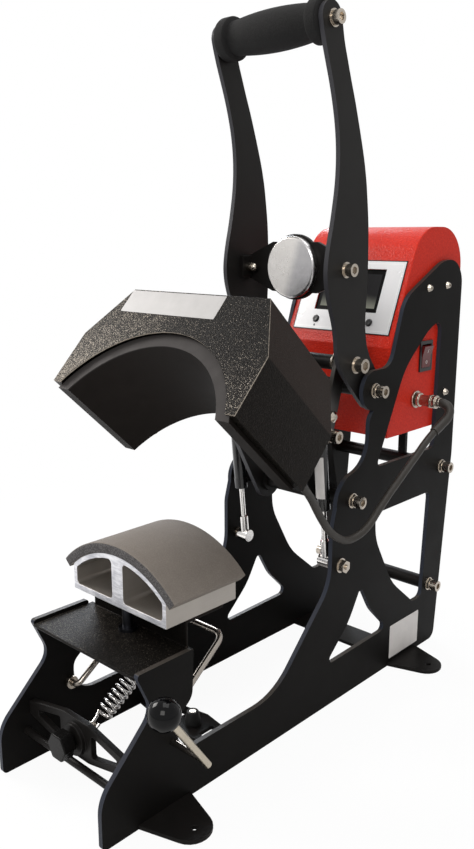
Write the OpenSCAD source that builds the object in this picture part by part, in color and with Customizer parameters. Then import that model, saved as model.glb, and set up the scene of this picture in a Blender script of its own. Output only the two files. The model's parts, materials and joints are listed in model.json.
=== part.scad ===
// Auto-open clamshell cap heat press. Millimetres, +Z up, +Y to the rear, +X to the right.
// The origin lies on the floor, midway between the four base holes. The head is drawn shut
// and swung open about its pivot, so the part rests open.

/* [Side frames] */
// width over the two side plates
frame_w = 156; // [152:1:162]
// thickness of each side plate
plate_t = 5; // [4:0.5:6]
// diameter of the cross rods
rod_d = 16; // [14:0.5:18]
// diameter of the bolts that hold the rods
bolt_d = 8; // [6:0.5:9]
// thickness of the floor plates and feet
foot_t = 4; // [3:0.5:6]
// sideways distance of the base holes from the middle
foot_x = 115; // [110:1:122]
// distance of the base holes before and behind the origin
foot_y = 192; // [188:1:196]
// diameter of the base holes
foot_hole_d = 5.5; // [5:0.5:9]

/* [Platen and tray] */
// height of the tray floor
tray_z = 137; // [133:1:139]
// thickness of the tray sheet
tray_t = 3; // [2:0.5:4]
// height of the platen foot
platen_z = 165; // [162:1:168]
// height of the axis that the platen and the heater curve round
curve_z = 115; // [113:0.5:117]
// radius of the platen top
platen_r = 100; // [96:0.5:104]
// thickness of the foam pad
pad_t = 10; // [6:0.5:12]
// half width of the platen
platen_hw = 66; // [60:1:68]
// length of the platen
platen_len = 88; // [80:1:94]

/* [Head] */
// space between pad and heater when shut
press_gap = 1; // [0.5:0.1:3]
// thickness of the heater block
block_t = 14; // [12:0.5:16]
// half width of the cover
cover_hw = 122.5; // [120:0.5:126]
// half width of the flat top of the cover
cover_top_hw = 90; // [80:1:100]
// front to back size of the cover
cover_len = 122; // [118:1:126]
// sheet thickness of the cover
cover_t = 1.5; // [1:0.1:2]
// angle the head stands open
head_open = 43; // [38:0.5:45]
// thickness of the head arms
arm_t = 6; // [5:0.5:7]
// diameter of the magnet and of the steel disc
magnet_d = 64; // [58:1:68]
// thickness of the magnet
magnet_t = 24; // [20:0.5:26]

/* [Handle and links] */
// angle the handle swings
handle_swing = 76; // [72:0.5:78]
// thickness of the handle arms and of the links
lever_t = 5; // [4:0.5:6]
// width of the links
link_w = 18; // [16:1:22]
// diameter of the link pins
pin_d = 10; // [8:0.5:11]
// diameter of the grip at its ends
grip_d = 42; // [36:1:44]
// thickness of the steel disc
disc_t = 8; // [6:0.5:10]

/* [Gas springs] */
// diameter of the gas tube
tube_d = 14; // [13:0.5:15]
// diameter of the gas rod
gas_rod_d = 6; // [5:0.5:7]
// diameter of the ball studs
ball_d = 10; // [8:0.5:11]

/* [Hold-down] */
// diameter of the hold-down wire
wire_d = 6; // [5:0.5:7]
// distance of the cross bar from the wire's axis
bail_r = 107; // [104:1:110]
// angle of the wire above level
bail_angle = 36.5; // [34:0.5:38]
// diameter of the spring wire
spring_wire = 2.8; // [2:0.1:3]
// outside diameter of the spring
spring_od = 17.5; // [16:0.5:19]
// number of curls in the spring
spring_turns = 14; // [10:1:14]
// diameter of the ball on the lever
lever_ball_d = 28; // [22:1:32]
// diameter of the lever rod
lever_d = 7; // [6.5:0.5:10]
// diameter of the adjusting knob
knob_d = 26; // [24:0.5:29]

/* [Control box] */
// slope of the panel from upright
box_tilt = 22.4; // [18:0.2:25]
// sheet thickness of the box
box_t = 1.5; // [1:0.1:2]
// width of the display window
lcd_w = 86; // [70:1:90]
// height of the display window
lcd_h = 51; // [44:1:53]
// diameter of the push buttons
button_d = 8; // [6:0.5:9]
// diameter of the heater cable
cable_d = 8; // [6:0.5:9]

/* [Clearances] */
// radial clearance of the running fits
run_gap = 0.05; // [0.02:0.01:0.1]
// radial clearance of bolts in their holes
bolt_gap = 0.2; // [0.1:0.05:0.5]
// space kept between moving pieces
free_gap = 0.5; // [0.4:0.05:0.8]

/* [Hidden] */
$fn = 48;
frame_in = frame_w / 2 - plate_t;
frame_out = frame_w / 2;
side_gap = 3;
handle_out = frame_in - side_gap;
handle_in = handle_out - lever_t;
link_out = handle_in - 13;
link_in = link_out - lever_t;
arm_out = link_in - 3;
arm_in = arm_out - arm_t;
gas_x = arm_out + 15;

// pivots as [y, z], open pose
handle_pivot = [114, 338.4];
arm_pivot = [79, 225];
link_top = [89.5, 367.5];
gas_low = [61, 157.5];
bail_pivot = [-182, 65];
rear_rods = [[262, 226], [247, 78]];
eye_pos = [-213, 56];
tie_pos = [-233, 34];

function turn2(p, c, a) = c + [(p[0] - c[0]) * cos(a) - (p[1] - c[1]) * sin(a),
    (p[0] - c[0]) * sin(a) + (p[1] - c[1]) * cos(a)];
function opened(p) = turn2(p, arm_pivot, -head_open);
link_low_shut = [24.7, 267.83];
link_low = opened(link_low_shut);
gas_top_shut = [-5.9, 264.8];
gas_top = opened(gas_top_shut);

// steel disc on the handle and the magnet that meets it when shut
disc_front = [64, 466];
disc_shut = turn2(disc_front, handle_pivot, handle_swing);
magnet_face = disc_shut - free_gap * [cos(handle_swing), sin(handle_swing)];
carrier_t = 6;
carrier_hl = 31;
function on_magnet(u, w) = turn2(magnet_face + [u, w], magnet_face, handle_swing - 90);

pad_r = platen_r + pad_t;
block_r = pad_r + press_gap;
block_out = block_r + block_t;
arch_r = block_out - 1.5;
head_y = -180;
head_bottom = 167;
head_break = 226;
block_y = head_y + 5;
block_len = cover_len - 10;
block_bottom = 162.5;
lug_top = curve_z + block_out + 22;
lug_w = 8;
head_top = lug_top + 23;
platen_y = -176;

// control box outline values
box_front = 149;
box_bottom = 279;
box_kink = 379;
box_top = 508;
box_rear = 292.5;
box_round = 45;
overlay_t = 0.6;
button_x = [-37, 0, 37];
button_up = 26.7;
socket_pos = [204, 316];
switch_pos = [221.5, 364];

// rounded outlines: each point is [u, v, radius]
function unit(v) = v / norm(v);
function fillet(a, b, c) = let(p = [b[0], b[1]], u = unit([a[0], a[1]] - p), v = unit([c[0], c[1]] - p),
    half = acos(u * v) / 2, m = p + unit(u + v) * b[2] / sin(half),
    p0 = p + u * b[2] / tan(half), p1 = p + v * b[2] / tan(half),
    a0 = atan2(p0[1] - m[1], p0[0] - m[0]), a1 = atan2(p1[1] - m[1], p1[0] - m[0]))
    [m, p0, p1, a0, (a1 - a0 + 540) % 360 - 180];
function corner(a, b, c) = b[2] == 0 ? [[b[0], b[1]]] : let(f = fillet(a, b, c),
    n = max(2, ceil(abs(f[4]) / (b[2] > 25 ? 7 : 15))))
    [for (i = [0:n]) f[0] + b[2] * [cos(f[3] + f[4] * i / n), sin(f[3] + f[4] * i / n)]];
function rounded(p) = let(n = len(p))
    [for (i = [0:n - 1]) each corner(p[(i + n - 1) % n], p[i], p[(i + 1) % n])];

// placing helpers
module yz(x0, t) { translate([x0, 0, 0]) rotate([90, 0, 90]) linear_extrude(t) children(); }
module xz(y0, t) { translate([0, y0 + t, 0]) rotate([90, 0, 0]) linear_extrude(t) children(); }
module xrod(p, x0, x1, d) { translate([x0, p[0], p[1]]) rotate([0, 90, 0]) cylinder(h = x1 - x0, d = d); }
module yrod(x, z, y0, y1, d) { translate([x, y1, z]) rotate([90, 0, 0]) cylinder(h = y1 - y0, d = d); }
module pair() { children(); mirror([1, 0, 0]) children(); }
module swung() { translate([0, arm_pivot[0], arm_pivot[1]]) rotate([-head_open, 0, 0])
    translate([0, -arm_pivot[0], -arm_pivot[1]]) children(); }
module on_panel() { translate([0, box_front, box_kink]) rotate([90 - box_tilt, 0, 0]) children(); }
module at_magnet() { translate([0, magnet_face[0], magnet_face[1]]) rotate([handle_swing - 90, 0, 0]) children(); }

// socket-head bolt with its spacer, from the face at x outwards, shank inwards
module bolt(p, x, shank, d = bolt_d, spacer = 7) {
    difference() {
        union() {
            xrod(p, x - shank, x + spacer, d);
            xrod(p, x, x + 1.5, d + 8);
            if (spacer > 6) translate([x + 1.5, p[0], p[1]]) rotate([0, 90, 0]) cylinder(h = 3, d = d + 7, $fn = 6);
            xrod(p, x + 1, x + spacer, d + 4);
            xrod(p, x + spacer, x + spacer + 7, d + 5);
        }
        translate([x + spacer + 3.5, p[0], p[1]]) rotate([0, 90, 0]) cylinder(h = 5, d = d, $fn = 6);
    }
}
module dome_screw(p, x, shank, d) {
    xrod(p, x - shank, x + 0.5, d);
    translate([x, p[0], p[1]]) rotate([0, 90, 0]) difference() {
        cylinder(h = 3, d1 = d * 2.2, d2 = d * 1.3);
        translate([0, 0, 1.5]) cylinder(h = 2, d = d * 0.7, $fn = 6);
    }
}

// side frames
neck_top = tray_z + tray_t + 3.5;
frame_edge = [[-261.5, 0, 5], [266, 0, 11], [287.5, 238, 80], [289, 472, 29], [245, 471, 50], [168, 432, 38],
    [145, 360, 20], [114, 360, 0], [114, 317, 0], [106.5, 308, 14], [106.5, 262, 34], [60, 250, 26],
    [46, 200, 30], [46, 140, 50], [-43, 49, 70], [-178, 49, 24], [-176, 84, 12], [-157, 98, 14],
    [-155, neck_top, 3], [-221, neck_top, 3], [-203, 104, 18], [-261.5, 47, 35]];
window_low = [[125, 199, 10], [240, 199, 8], [232, 66, 9], [212, 66, 9], [163, 106, 90], [126, 170, 60]];
window_high = [[122.5, 252.5, 5], [243.5, 252.5, 9], [247.5, 406, 10], [218.5, 394, 60], [172.5, 356, 90]];
window_tri = [[101, 121, 5], [122, 86, 60], [158, 51, 6], [38, 48.5, 5], [80, 86, 80]];
box_screws = [[216, 441], [256, 442.5], [263, 317]];
module side_plate() {
    difference() {
        yz(frame_in, plate_t) difference() {
            union() {
                polygon(rounded(frame_edge));
                translate(handle_pivot) circle(r = 21.5);
                translate(arm_pivot) circle(r = 27);
            }
            polygon(rounded(window_low));
            polygon(rounded(window_high));
            polygon(rounded(window_tri));
        }
        for (p = concat([handle_pivot, arm_pivot, gas_low], rear_rods))
            xrod(p, frame_in - 1, frame_out + 1, bolt_d + 2 * bolt_gap);
        for (p = box_screws)
            xrod(p, frame_in - 1, frame_out + 1, 4 + 2 * bolt_gap);
        xrod(bail_pivot, frame_in - 1, frame_out + 1, wire_d + 2 * run_gap);
        translate([frame_in - 1, foot_y - 20, -1]) cube([plate_t + 2, 40, foot_t + 1]);
    }
}
module right_side_frame() { color("#1b1b1d") side_plate(); }
module left_side_frame() { color("#1b1b1d") mirror([1, 0, 0]) side_plate(); }

// feet and floor plates
foot_edge = [[frame_out, -31, 0], [foot_x + 14.5, -14.5, 19.5], [foot_x + 14.5, 14.5, 19.5], [frame_out, 31, 0]];
module foot_tab() {
    linear_extrude(foot_t) difference() {
        polygon(rounded(foot_edge));
        translate([foot_x, 0]) circle(d = foot_hole_d);
    }
}
module front_feet() { color("#1b1b1d") pair() translate([0, -foot_y, 0]) foot_tab(); }
module rear_foot_plate() {
    color("#1b1b1d") translate([0, foot_y, 0]) {
        pair() foot_tab();
        translate([-frame_out - 0.01, -20, 0]) cube([frame_w + 0.02, 40, foot_t]);
    }
}
mid_y = -83;
module middle_cross_plate() {
    color("#1b1b1d") translate([0, mid_y, 0]) linear_extrude(foot_t) difference() {
        polygon([[-frame_in, -9], [0, -22], [frame_in, -9], [frame_in, 9], [0, 22], [-frame_in, 9]]);
        for (s = [-1, 1]) polygon(rounded([[s * 18, -10, 2], [s * 56, -4, 1], [s * 56, 4, 1], [s * 18, 10, 2]]));
        circle(d = 5);
    }
}
bumper_h = 15;
module rubber_bumper() {
    color("#101010") translate([0, mid_y, foot_t]) difference() {
        union() { cylinder(h = bumper_h - 2, d = 17); cylinder(h = bumper_h, d = 13); }
        translate([0, 0, bumper_h - 3]) cylinder(h = 4, d = 7.5);
        translate([0, 0, -1]) cylinder(h = bumper_h, d = 4.4);
    }
}

// front cross plate, knob and eye bolt
bar_y = -229;
bar_t = 6;
hub_len = 12;
module front_cross_plate() {
    color("#1b1b1d") difference() {
        union() {
            xz(bar_y, bar_t) difference() {
                polygon(rounded([[-frame_in, 50, 0], [-18, 38, 12], [18, 38, 12], [frame_in, 50, 0],
                    [frame_in, 64, 0], [18, 76, 12], [-18, 76, 12], [-frame_in, 64, 0]]));
                for (s = [-1, 1])
                    polygon(rounded([[s * 23, 46, 2], [s * 58, 54, 1.5], [s * 58, 60, 1.5], [s * 23, 68, 2]]));
            }
            yrod(0, eye_pos[1], bar_y - 4, bar_y - 4 + hub_len, 30);
        }
        yrod(0, eye_pos[1], bar_y - 10, bar_y + 20, 6 + 2 * run_gap);
    }
}
knob_y = -250;
module adjusting_knob() {
    color("#151515") difference() {
        union() {
            intersection() {
                yrod(0, eye_pos[1], knob_y, knob_y + 13, knob_d);
                translate([0, knob_y + 16, eye_pos[1]]) rotate([90, 0, 0]) cylinder(h = 17, d = knob_d * 1.04, $fn = 6);
            }
            yrod(0, eye_pos[1], knob_y + 12, bar_y - 4 - free_gap, 15);
        }
        yrod(0, eye_pos[1], knob_y + 4, bar_y, 6 + 2 * run_gap);
    }
}
module eye_bolt() {
    color("#c8c8c8") {
        yrod(0, eye_pos[1], knob_y + 6, eye_pos[0] - 5.5, 6);
        translate([0, eye_pos[0], eye_pos[1]]) rotate([0, 90, 0]) rotate_extrude() translate([6.5, 0]) circle(r = 2);
    }
}
module front_tie_rod() {
    color("#1b1b1d") xrod(tie_pos, -frame_in, frame_in, 7);
}

// cross rods between the side plates
module cross_rod(p) {
    difference() {
        xrod(p, -frame_in, frame_in, rod_d);
        pair() xrod(p, frame_in - 16, frame_in + 1, bolt_d + 2 * bolt_gap);
    }
}
module collar(p, x0, x1) {
    difference() { xrod(p, x0, x1, rod_d + 9); xrod(p, x0 - 1, x1 + 1, rod_d); }
}
// the four rods, the strap up to the box floor and the loose collars that place the arms on the pivot rods
strap_x = 24;
module cross_rods() {
    color("#1b1b1d") for (p = concat([handle_pivot, arm_pivot], rear_rods)) cross_rod(p);
    color("#1b1b1d") translate([strap_x - 5, rear_rods[0][0] - 2.5, rear_rods[0][1]])
        cube([10, 5, box_bottom - rear_rods[0][1]]);
    color("#3a3a3c") pair() {
        collar(handle_pivot, handle_out + free_gap, frame_in);
        collar(handle_pivot, handle_in - 5, handle_in - free_gap);
        collar(arm_pivot, arm_out + free_gap, arm_out + 5);
        collar(arm_pivot, arm_in - 5, arm_in - free_gap);
    }
}
module frame_fasteners() {
    color("#c8c8c8") pair() {
        for (p = concat([handle_pivot, arm_pivot], rear_rods)) bolt(p, frame_out, plate_t + 12);
        for (p = box_screws) dome_screw(p, frame_out, plate_t + 4, 4);
    }
    color("#c8c8c8") translate([0, mid_y, 0.5]) {
        cylinder(h = foot_t + bumper_h - 3, d = 4);
        translate([0, 0, foot_t + bumper_h - 3.5]) cylinder(h = 2, d = 7);
    }
}
module gas_low_studs() {
    color("#c8c8c8") pair() {
        xrod(gas_low, gas_x, frame_out + 10, 5.5);
        translate([gas_x, gas_low[0], gas_low[1]]) sphere(d = ball_d);
        xrod(gas_low, frame_in - 3, frame_in, 11);
        xrod(gas_low, frame_in - 0.5, frame_out + 0.5, bolt_d);
        xrod(gas_low, frame_out, frame_out + 1.5, 16);
        translate([frame_out + 1, gas_low[0], gas_low[1]]) rotate([0, 90, 0]) cylinder(h = 7, d = 14, $fn = 6);
    }
}

// tray, post, platen and pad
wall_y = -153;
post_y = -165;
module platen_tray() {
    color("#222224") {
        translate([-frame_in, -220, tray_z]) cube([2 * frame_in, wall_y + 220 + tray_t, tray_t]);
        translate([-66, wall_y, tray_z]) cube([132, tray_t, platen_z - tray_z]);
        translate([-66, wall_y, platen_z - tray_t]) cube([132, 48, tray_t]);
    }
}
module platen_post() {
    color("#8a8a8c") translate([0, post_y, tray_z + tray_t]) {
        cylinder(h = 3, d = 18);
        cylinder(h = platen_z - tray_z - tray_t, d = 10);
    }
}
platen_wall = 5;
platen_web = 16;
module lower_platen() {
    in_r = platen_r - platen_wall;
    x0 = platen_web / 2;
    x1 = platen_hw - platen_wall;
    a0 = asin(x0 / in_r);
    a1 = asin(x1 / in_r);
    color("#c4c6c8") xz(platen_y, platen_len) difference() {
        intersection() {
            translate([0, curve_z]) circle(r = platen_r, $fn = 96);
            translate([-platen_hw, platen_z]) square([2 * platen_hw, 60]);
        }
        for (s = [-1, 1]) polygon(rounded(concat([[s * x0, platen_z + 6, 4], [s * x1, platen_z + 6, 4]],
            [for (i = [0:5]) let(a = a1 + (a0 - a1) * i / 5)
                [s * in_r * sin(a), curve_z + in_r * cos(a), i == 0 || i == 5 ? 4 : 0]])));
    }
}
pad_half = 45.4;
module platen_pad() {
    color("#6e6962") xz(platen_y - 1, platen_len + 2) intersection() {
        translate([0, curve_z]) difference() { circle(r = pad_r, $fn = 96); circle(r = platen_r, $fn = 96); }
        translate([0, curve_z]) polygon([[0, 0], 200 * [sin(pad_half), cos(pad_half)],
            200 * [-sin(pad_half), cos(pad_half)]]);
    }
}

// head, drawn shut and swung open
module cover_edge(t) {
    k = (cover_hw - cover_top_hw) / (head_top - head_break);
    w = t * (sqrt(1 + k * k) - k);
    polygon([[-cover_hw + t, head_bottom + t], [cover_hw - t, head_bottom + t], [cover_hw - t, head_break],
        [cover_top_hw - w, head_top - t], [-cover_top_hw + w, head_top - t], [-cover_hw + t, head_break]]);
}
grommet_pos = [100, 182];
post_rows = [head_y + 32, head_y + 88];
module heater_cover() {
    color("#242426") swung() {
        difference() {
            xz(head_y, cover_len) cover_edge(0);
            xz(head_y + cover_t, cover_len - 2 * cover_t) cover_edge(cover_t);
            yrod(0, curve_z, head_y - 1, head_y + cover_len + 1, 2 * arch_r);
            translate([-114.5, head_y + 3, head_bottom - 1]) cube([229, cover_len - 6, 4]);
            pair() translate([arm_in - 1.5, head_y + cover_len - 4, lug_top - 24]) cube([arm_t + 3, 8, 36]);
            yrod(grommet_pos[0], grommet_pos[1], head_y + cover_len - 4, head_y + cover_len + 1, cable_d + 6);
        }
        pair() for (y = post_rows) translate([arm_in - lug_w / 2, y, lug_top])
            cylinder(h = head_top - cover_t - lug_top + 0.2, d = 7);
    }
}
heater_spots = [-50, -17, 17, 50];
module heater_block() {
    color("#55565a") swung() difference() {
        union() {
            xz(block_y, block_len) intersection() {
                translate([0, curve_z]) difference() { circle(r = block_out, $fn = 96); circle(r = block_r, $fn = 96); }
                translate([-150, block_bottom]) square([300, 150]);
            }
            pair() translate([arm_in - lug_w, head_y + 28, curve_z + block_out - 9])
                cube([lug_w, 64, lug_top - curve_z - block_out + 9]);
        }
        for (a = heater_spots) translate([0, 0, curve_z]) rotate([0, a, 0])
            yrod(0, block_r + block_t / 2, block_y + 10, block_y + block_len + 1, 8 + 2 * bolt_gap);
        pair() for (y = post_rows) xrod([y, lug_top - 6], arm_in - lug_w - 1, arm_in + 1, 6 + 2 * bolt_gap);
    }
}
module heating_cartridges() {
    color("#b0aca0") swung() for (a = heater_spots) translate([0, 0, curve_z]) rotate([0, a, 0])
        yrod(0, block_r + block_t / 2, block_y + 12, block_y + block_len + 3, 8);
}
module head_arm() {
    rear = on_magnet(carrier_hl - 2, -magnet_t - carrier_t);
    front = on_magnet(2 - carrier_hl, -magnet_t - carrier_t);
    difference() {
        yz(arm_in, arm_t) union() {
            polygon(rounded([[-152, lug_top - 15, 5], [-54, lug_top - 15, 12], [70, 207, 0], [90, 242, 0],
                [30, 280.5, 10], [rear[0], rear[1], 0], [front[0], front[1], 0], [front[0] - 2, front[1] - 9, 3],
                [-54, (front[1] + lug_top) / 2, 2], [-54, lug_top + 9, 2], [-152, lug_top + 9, 5]]));
            translate(arm_pivot) circle(r = 20);
            translate(link_low_shut) circle(r = 14);
        }
        xrod(arm_pivot, arm_in - 1, arm_out + 1, rod_d + 2 * run_gap);
        for (y = post_rows) xrod([y, lug_top - 6], arm_in - 1, arm_out + 1, 6 + 2 * bolt_gap);
        xrod(gas_top_shut, arm_in - 1, arm_out + 1, 6 + 2 * bolt_gap);
    }
}
module right_head_arm() { color("#1b1b1d") swung() head_arm(); }
module left_head_arm() { color("#1b1b1d") swung() mirror([1, 0, 0]) head_arm(); }
module head_bolts() {
    color("#c8c8c8") swung() pair() for (y = post_rows) {
        xrod([y, lug_top - 6], arm_in - lug_w, arm_out + 1, 6);
        xrod([y, lug_top - 6], arm_out, arm_out + 5, 10);
    }
    color("#c8c8c8") swung() at_magnet() translate([0, 0, -magnet_t - carrier_t]) {
        cylinder(h = carrier_t + 12, d = 8);
        translate([0, 0, -6]) cylinder(h = 6, d = 13, $fn = 6);
    }
}
module magnet_carrier() {
    color("#b9babc") swung() at_magnet() difference() {
        translate([-arm_out - 1.5, -carrier_hl, -magnet_t - carrier_t]) cube([2 * arm_out + 3, 2 * carrier_hl, carrier_t]);
        translate([0, 0, -magnet_t - carrier_t - 1]) cylinder(h = carrier_t + 2, d = 8 + 2 * bolt_gap);
    }
}
module electromagnet() {
    color("#2c2c30") swung() at_magnet() difference() {
        translate([0, 0, -magnet_t]) cylinder(h = magnet_t, d = magnet_d);
        translate([0, 0, -1.5]) difference() { cylinder(h = 2, d = magnet_d - 12); cylinder(h = 5, d = magnet_d - 28, center = true); }
        translate([0, 0, -magnet_t - 1]) cylinder(h = 14, d = 8 + 2 * bolt_gap);
    }
}
module gas_top_studs() {
    color("#c8c8c8") swung() pair() {
        xrod(gas_top_shut, arm_in - 6, gas_x, 6);
        xrod(gas_top_shut, arm_out, arm_out + 4, 11);
        xrod(gas_top_shut, arm_in - 5, arm_in, 10);
        translate([gas_x, gas_top_shut[0], gas_top_shut[1]]) sphere(d = ball_d);
    }
}
module cable_grommet() {
    color("#141414") swung() difference() {
        union() {
            yrod(grommet_pos[0], grommet_pos[1], head_y + cover_len - cover_t - 2, head_y + cover_len + 1, cable_d + 6);
            yrod(grommet_pos[0], grommet_pos[1], head_y + cover_len, head_y + cover_len + 3, cable_d + 10);
        }
        yrod(grommet_pos[0], grommet_pos[1], head_y + cover_len - 6, head_y + cover_len + 6, cable_d + 0.4);
    }
}

// handle
handle_edge = [[21, 710, 15], [57, 710, 15], [74, 625, 70], [107, 532, 90], [105, 432, 60], [104, 400, 30],
    [142.5, 331.5, 19], [114.4, 311, 19], [59.5, 368, 10], [53, 399, 40], [28, 472, 60], [51, 580, 80]];
grip_pos = [38, 691];
plate_bolt = [67, 465];
plate_y = 72;
module handle_arm() {
    difference() {
        yz(handle_in, lever_t) polygon(rounded(handle_edge));
        xrod(handle_pivot, handle_in - 1, handle_out + 1, rod_d + 2 * run_gap);
        for (p = [grip_pos, plate_bolt]) xrod(p, handle_in - 1, handle_out + 1, bolt_d + 2 * bolt_gap);
        xrod(link_top, handle_in - 1, handle_out + 1, pin_d + 2 * bolt_gap);
    }
}
module right_handle_arm() { color("#1b1b1d") handle_arm(); }
module left_handle_arm() { color("#1b1b1d") mirror([1, 0, 0]) handle_arm(); }
module grip_rod() {
    color("#3a3a3c") difference() {
        xrod(grip_pos, -handle_in, handle_in, 18);
        pair() xrod(grip_pos, handle_in - 20, handle_in + 1, bolt_d + 2 * bolt_gap);
    }
}
module foam_grip() {
    gl = handle_in - 0.3;
    color("#17171a") translate([0, grip_pos[0], grip_pos[1]]) rotate([0, 90, 0]) rotate_extrude()
        polygon(concat([[9, -gl], [grip_d / 2 - 2, -gl], [grip_d / 2, -gl + 2], [grip_d / 2, -gl + 8],
            [grip_d / 2 - 4, -gl + 13]],
            [for (i = [-8:8]) [grip_d / 2 - 1 - 3 * pow(i / 8, 2), i / 8 * (gl - 18)]],
            [[grip_d / 2 - 4, gl - 13], [grip_d / 2, gl - 8], [grip_d / 2, gl - 2], [grip_d / 2 - 2, gl], [9, gl]]));
}
// the plate that carries the disc, and the rod between the tops of the links
link_washer = 2;
link_rod_end = link_in - free_gap - link_washer;
module handle_cross_plate() {
    color("#1b1b1d") difference() {
        xrod(link_top, -link_rod_end, link_rod_end, rod_d);
        pair() xrod(link_top, link_rod_end - 14, link_rod_end + 1, pin_d + 2 * bolt_gap);
    }
    color("#1b1b1d") difference() {
        union() {
            xz(plate_y, 5) union() {
                polygon([[-handle_in, 454], [-30, 440], [30, 440], [handle_in, 454], [handle_in, 477],
                    [30, 492], [-30, 492], [-handle_in, 477]]);
                translate([0, disc_front[1]]) circle(r = magnet_d / 2 + 2);
            }
            pair() translate([handle_in - 5, plate_y - 14, 454]) cube([5, 19, 23]);
        }
        pair() xrod(plate_bolt, handle_in - 6, handle_in + 1, bolt_d + 2 * bolt_gap);
        yrod(0, disc_front[1], plate_y - 1, plate_y + 6, 8 + 2 * bolt_gap);
    }
}
module steel_disc() {
    color("#d2d4d6") translate([0, plate_y, disc_front[1]]) rotate([90, 0, 0]) difference() {
        union() { cylinder(h = disc_t - 2, d = magnet_d); translate([0, 0, disc_t - 2]) cylinder(h = 2, d1 = magnet_d, d2 = magnet_d - 4); }
        translate([0, 0, -1]) cylinder(h = disc_t - 2, d = 8 + 2 * bolt_gap);
    }
}
module handle_bolts() {
    color("#c8c8c8") {
        pair() {
            bolt(grip_pos, handle_out, lever_t + 16, bolt_d, 2);
            bolt(plate_bolt, handle_out, lever_t + 6, bolt_d, 4);
            xrod(plate_bolt, handle_in - 11, handle_in - 5, 2 * (plate_y - plate_bolt[0]) - free_gap);
        }
        yrod(0, disc_front[1], plate_y - 4, plate_y + 5.5, 8);
        yrod(0, disc_front[1], plate_y + 5, plate_y + 11, 13);
    }
    color("#c8c8c8") pair() {
        bolt(link_top, handle_out, lever_t + 1, pin_d, 5);
        xrod(link_top, link_rod_end - 12, handle_in + 1, pin_d);
        xrod(link_top, link_out + free_gap, handle_in, pin_d + 5);
        xrod(link_top, link_rod_end, link_in - free_gap, rod_d + 6);
    }
}

// toggle links, each with its lower bolt and a dome screw above it
module link() {
    v = link_top - link_low;
    screw = link_low + v / norm(v) * 20;
    difference() {
        union() {
            yz(link_in, lever_t) union() {
                translate(link_top) circle(d = link_w);
                translate(link_low) circle(d = link_w);
                polygon([link_low + [v[1], -v[0]] / norm(v) * link_w / 2, link_top + [v[1], -v[0]] / norm(v) * link_w / 2,
                    link_top - [v[1], -v[0]] / norm(v) * link_w / 2, link_low - [v[1], -v[0]] / norm(v) * link_w / 2]);
            }
            bolt(link_low, link_out, lever_t + 2.5, bolt_d, 8);
            translate([link_out - 0.5, screw[0], screw[1]]) rotate([0, 90, 0]) {
                cylinder(h = 3.5, d = 12);
                translate([0, 0, 3.5]) cylinder(h = 2.5, d1 = 12, d2 = 6);
            }
        }
        xrod(link_top, link_in - 1, link_out + 1, pin_d + 2 * run_gap);
    }
}
module right_link() { color("#3a3a3c") link(); }
module left_link() { color("#3a3a3c") mirror([1, 0, 0]) link(); }

// gas springs, drawn along +Z from the lower ball and leaned to the upper one
gas_len = norm(gas_top - gas_low);
gas_lean = atan2(gas_top[0] - gas_low[0], gas_top[1] - gas_low[1]);
gas_cap = 60;
module gas_place() { translate([gas_x, gas_low[0], gas_low[1]]) rotate([-gas_lean, 0, 0]) children(); }
module gas_rod() {
    gas_place() difference() {
        union() {
            translate([-ball_d / 2 - 2, 0, 0]) rotate([0, 90, 0]) cylinder(h = ball_d + 4, d = ball_d + 4);
            cylinder(h = 24, d = 10);
            cylinder(h = gas_cap + 16, d = gas_rod_d);
            translate([0, 0, gas_cap + 12]) cylinder(h = 8, d = tube_d - 2 - 2 * run_gap);
        }
        translate([-ball_d / 2 - 0.5, 0, 0]) rotate([0, 90, 0]) cylinder(h = ball_d + 6, d = ball_d + 2 * run_gap);
    }
}
module gas_tube() {
    gas_place() difference() {
        union() {
            translate([0, 0, gas_cap]) cylinder(h = gas_len - gas_cap - 16, d = tube_d);
            translate([0, 0, gas_cap]) cylinder(h = 12, d = tube_d + 0.8);
            translate([0, 0, gas_len - 18]) cylinder(h = 12, d = 9);
            translate([-5, 0, gas_len + 1]) rotate([0, 90, 0]) cylinder(h = 10, d = ball_d + 9);
        }
        translate([0, 0, gas_cap - 1]) cylinder(h = 12, d = gas_rod_d + 2 * run_gap);
        translate([0, 0, gas_cap + 8]) cylinder(h = gas_len - gas_cap - 28, d = tube_d - 2);
        for (z = [0, 3]) translate([-6, 0, gas_len + z]) rotate([0, 90, 0]) cylinder(h = 12, d = ball_d + 1.6);
        translate([-6, -ball_d / 2 - 0.8, gas_len]) cube([12, ball_d + 1.6, 3]);
    }
}
module right_gas_rod() { color("#c8c8c8") gas_rod(); }
module left_gas_rod() { color("#c8c8c8") mirror([1, 0, 0]) gas_rod(); }
module right_gas_tube() { color("#161618") gas_tube(); }
module left_gas_tube() { color("#161618") mirror([1, 0, 0]) gas_tube(); }

// hold-down wire, drawn flat in [x, u] and turned up about its axis
lever_x = 118;
lever_seat = 2;
collar_w = 5;
bail_path = [[lever_x - 1, 0, 0], [frame_in - 13, 0, 6], [57, bail_r, 10], [-57, bail_r, 10],
    [-frame_in + 13, 0, 6], [-frame_out - 8, 0, 0]];
module bail_place(a) { translate([0, bail_pivot[0], bail_pivot[1]]) rotate([a, 0, 0]) children(); }
module hold_down_wire() {
    path = [for (i = [1:4]) each corner(bail_path[i - 1], bail_path[i], bail_path[i + 1])];
    color("#d0d0d2") bail_place(bail_angle) {
        tube([for (q = concat([[frame_in + 1, 0]], path, [[-frame_in - 1, 0]])) [q[0], q[1], 0]],
            wire_d / 2 - 0.06, 12, [0, 0, 1]);
        xrod([0, 0], frame_in - free_gap - collar_w, lever_x - lever_seat, wire_d);
        xrod([0, 0], -frame_out - 8, -frame_in + free_gap + collar_w, wire_d);
    }
}
lever_len = 77;
lever_turn = 125;
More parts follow.
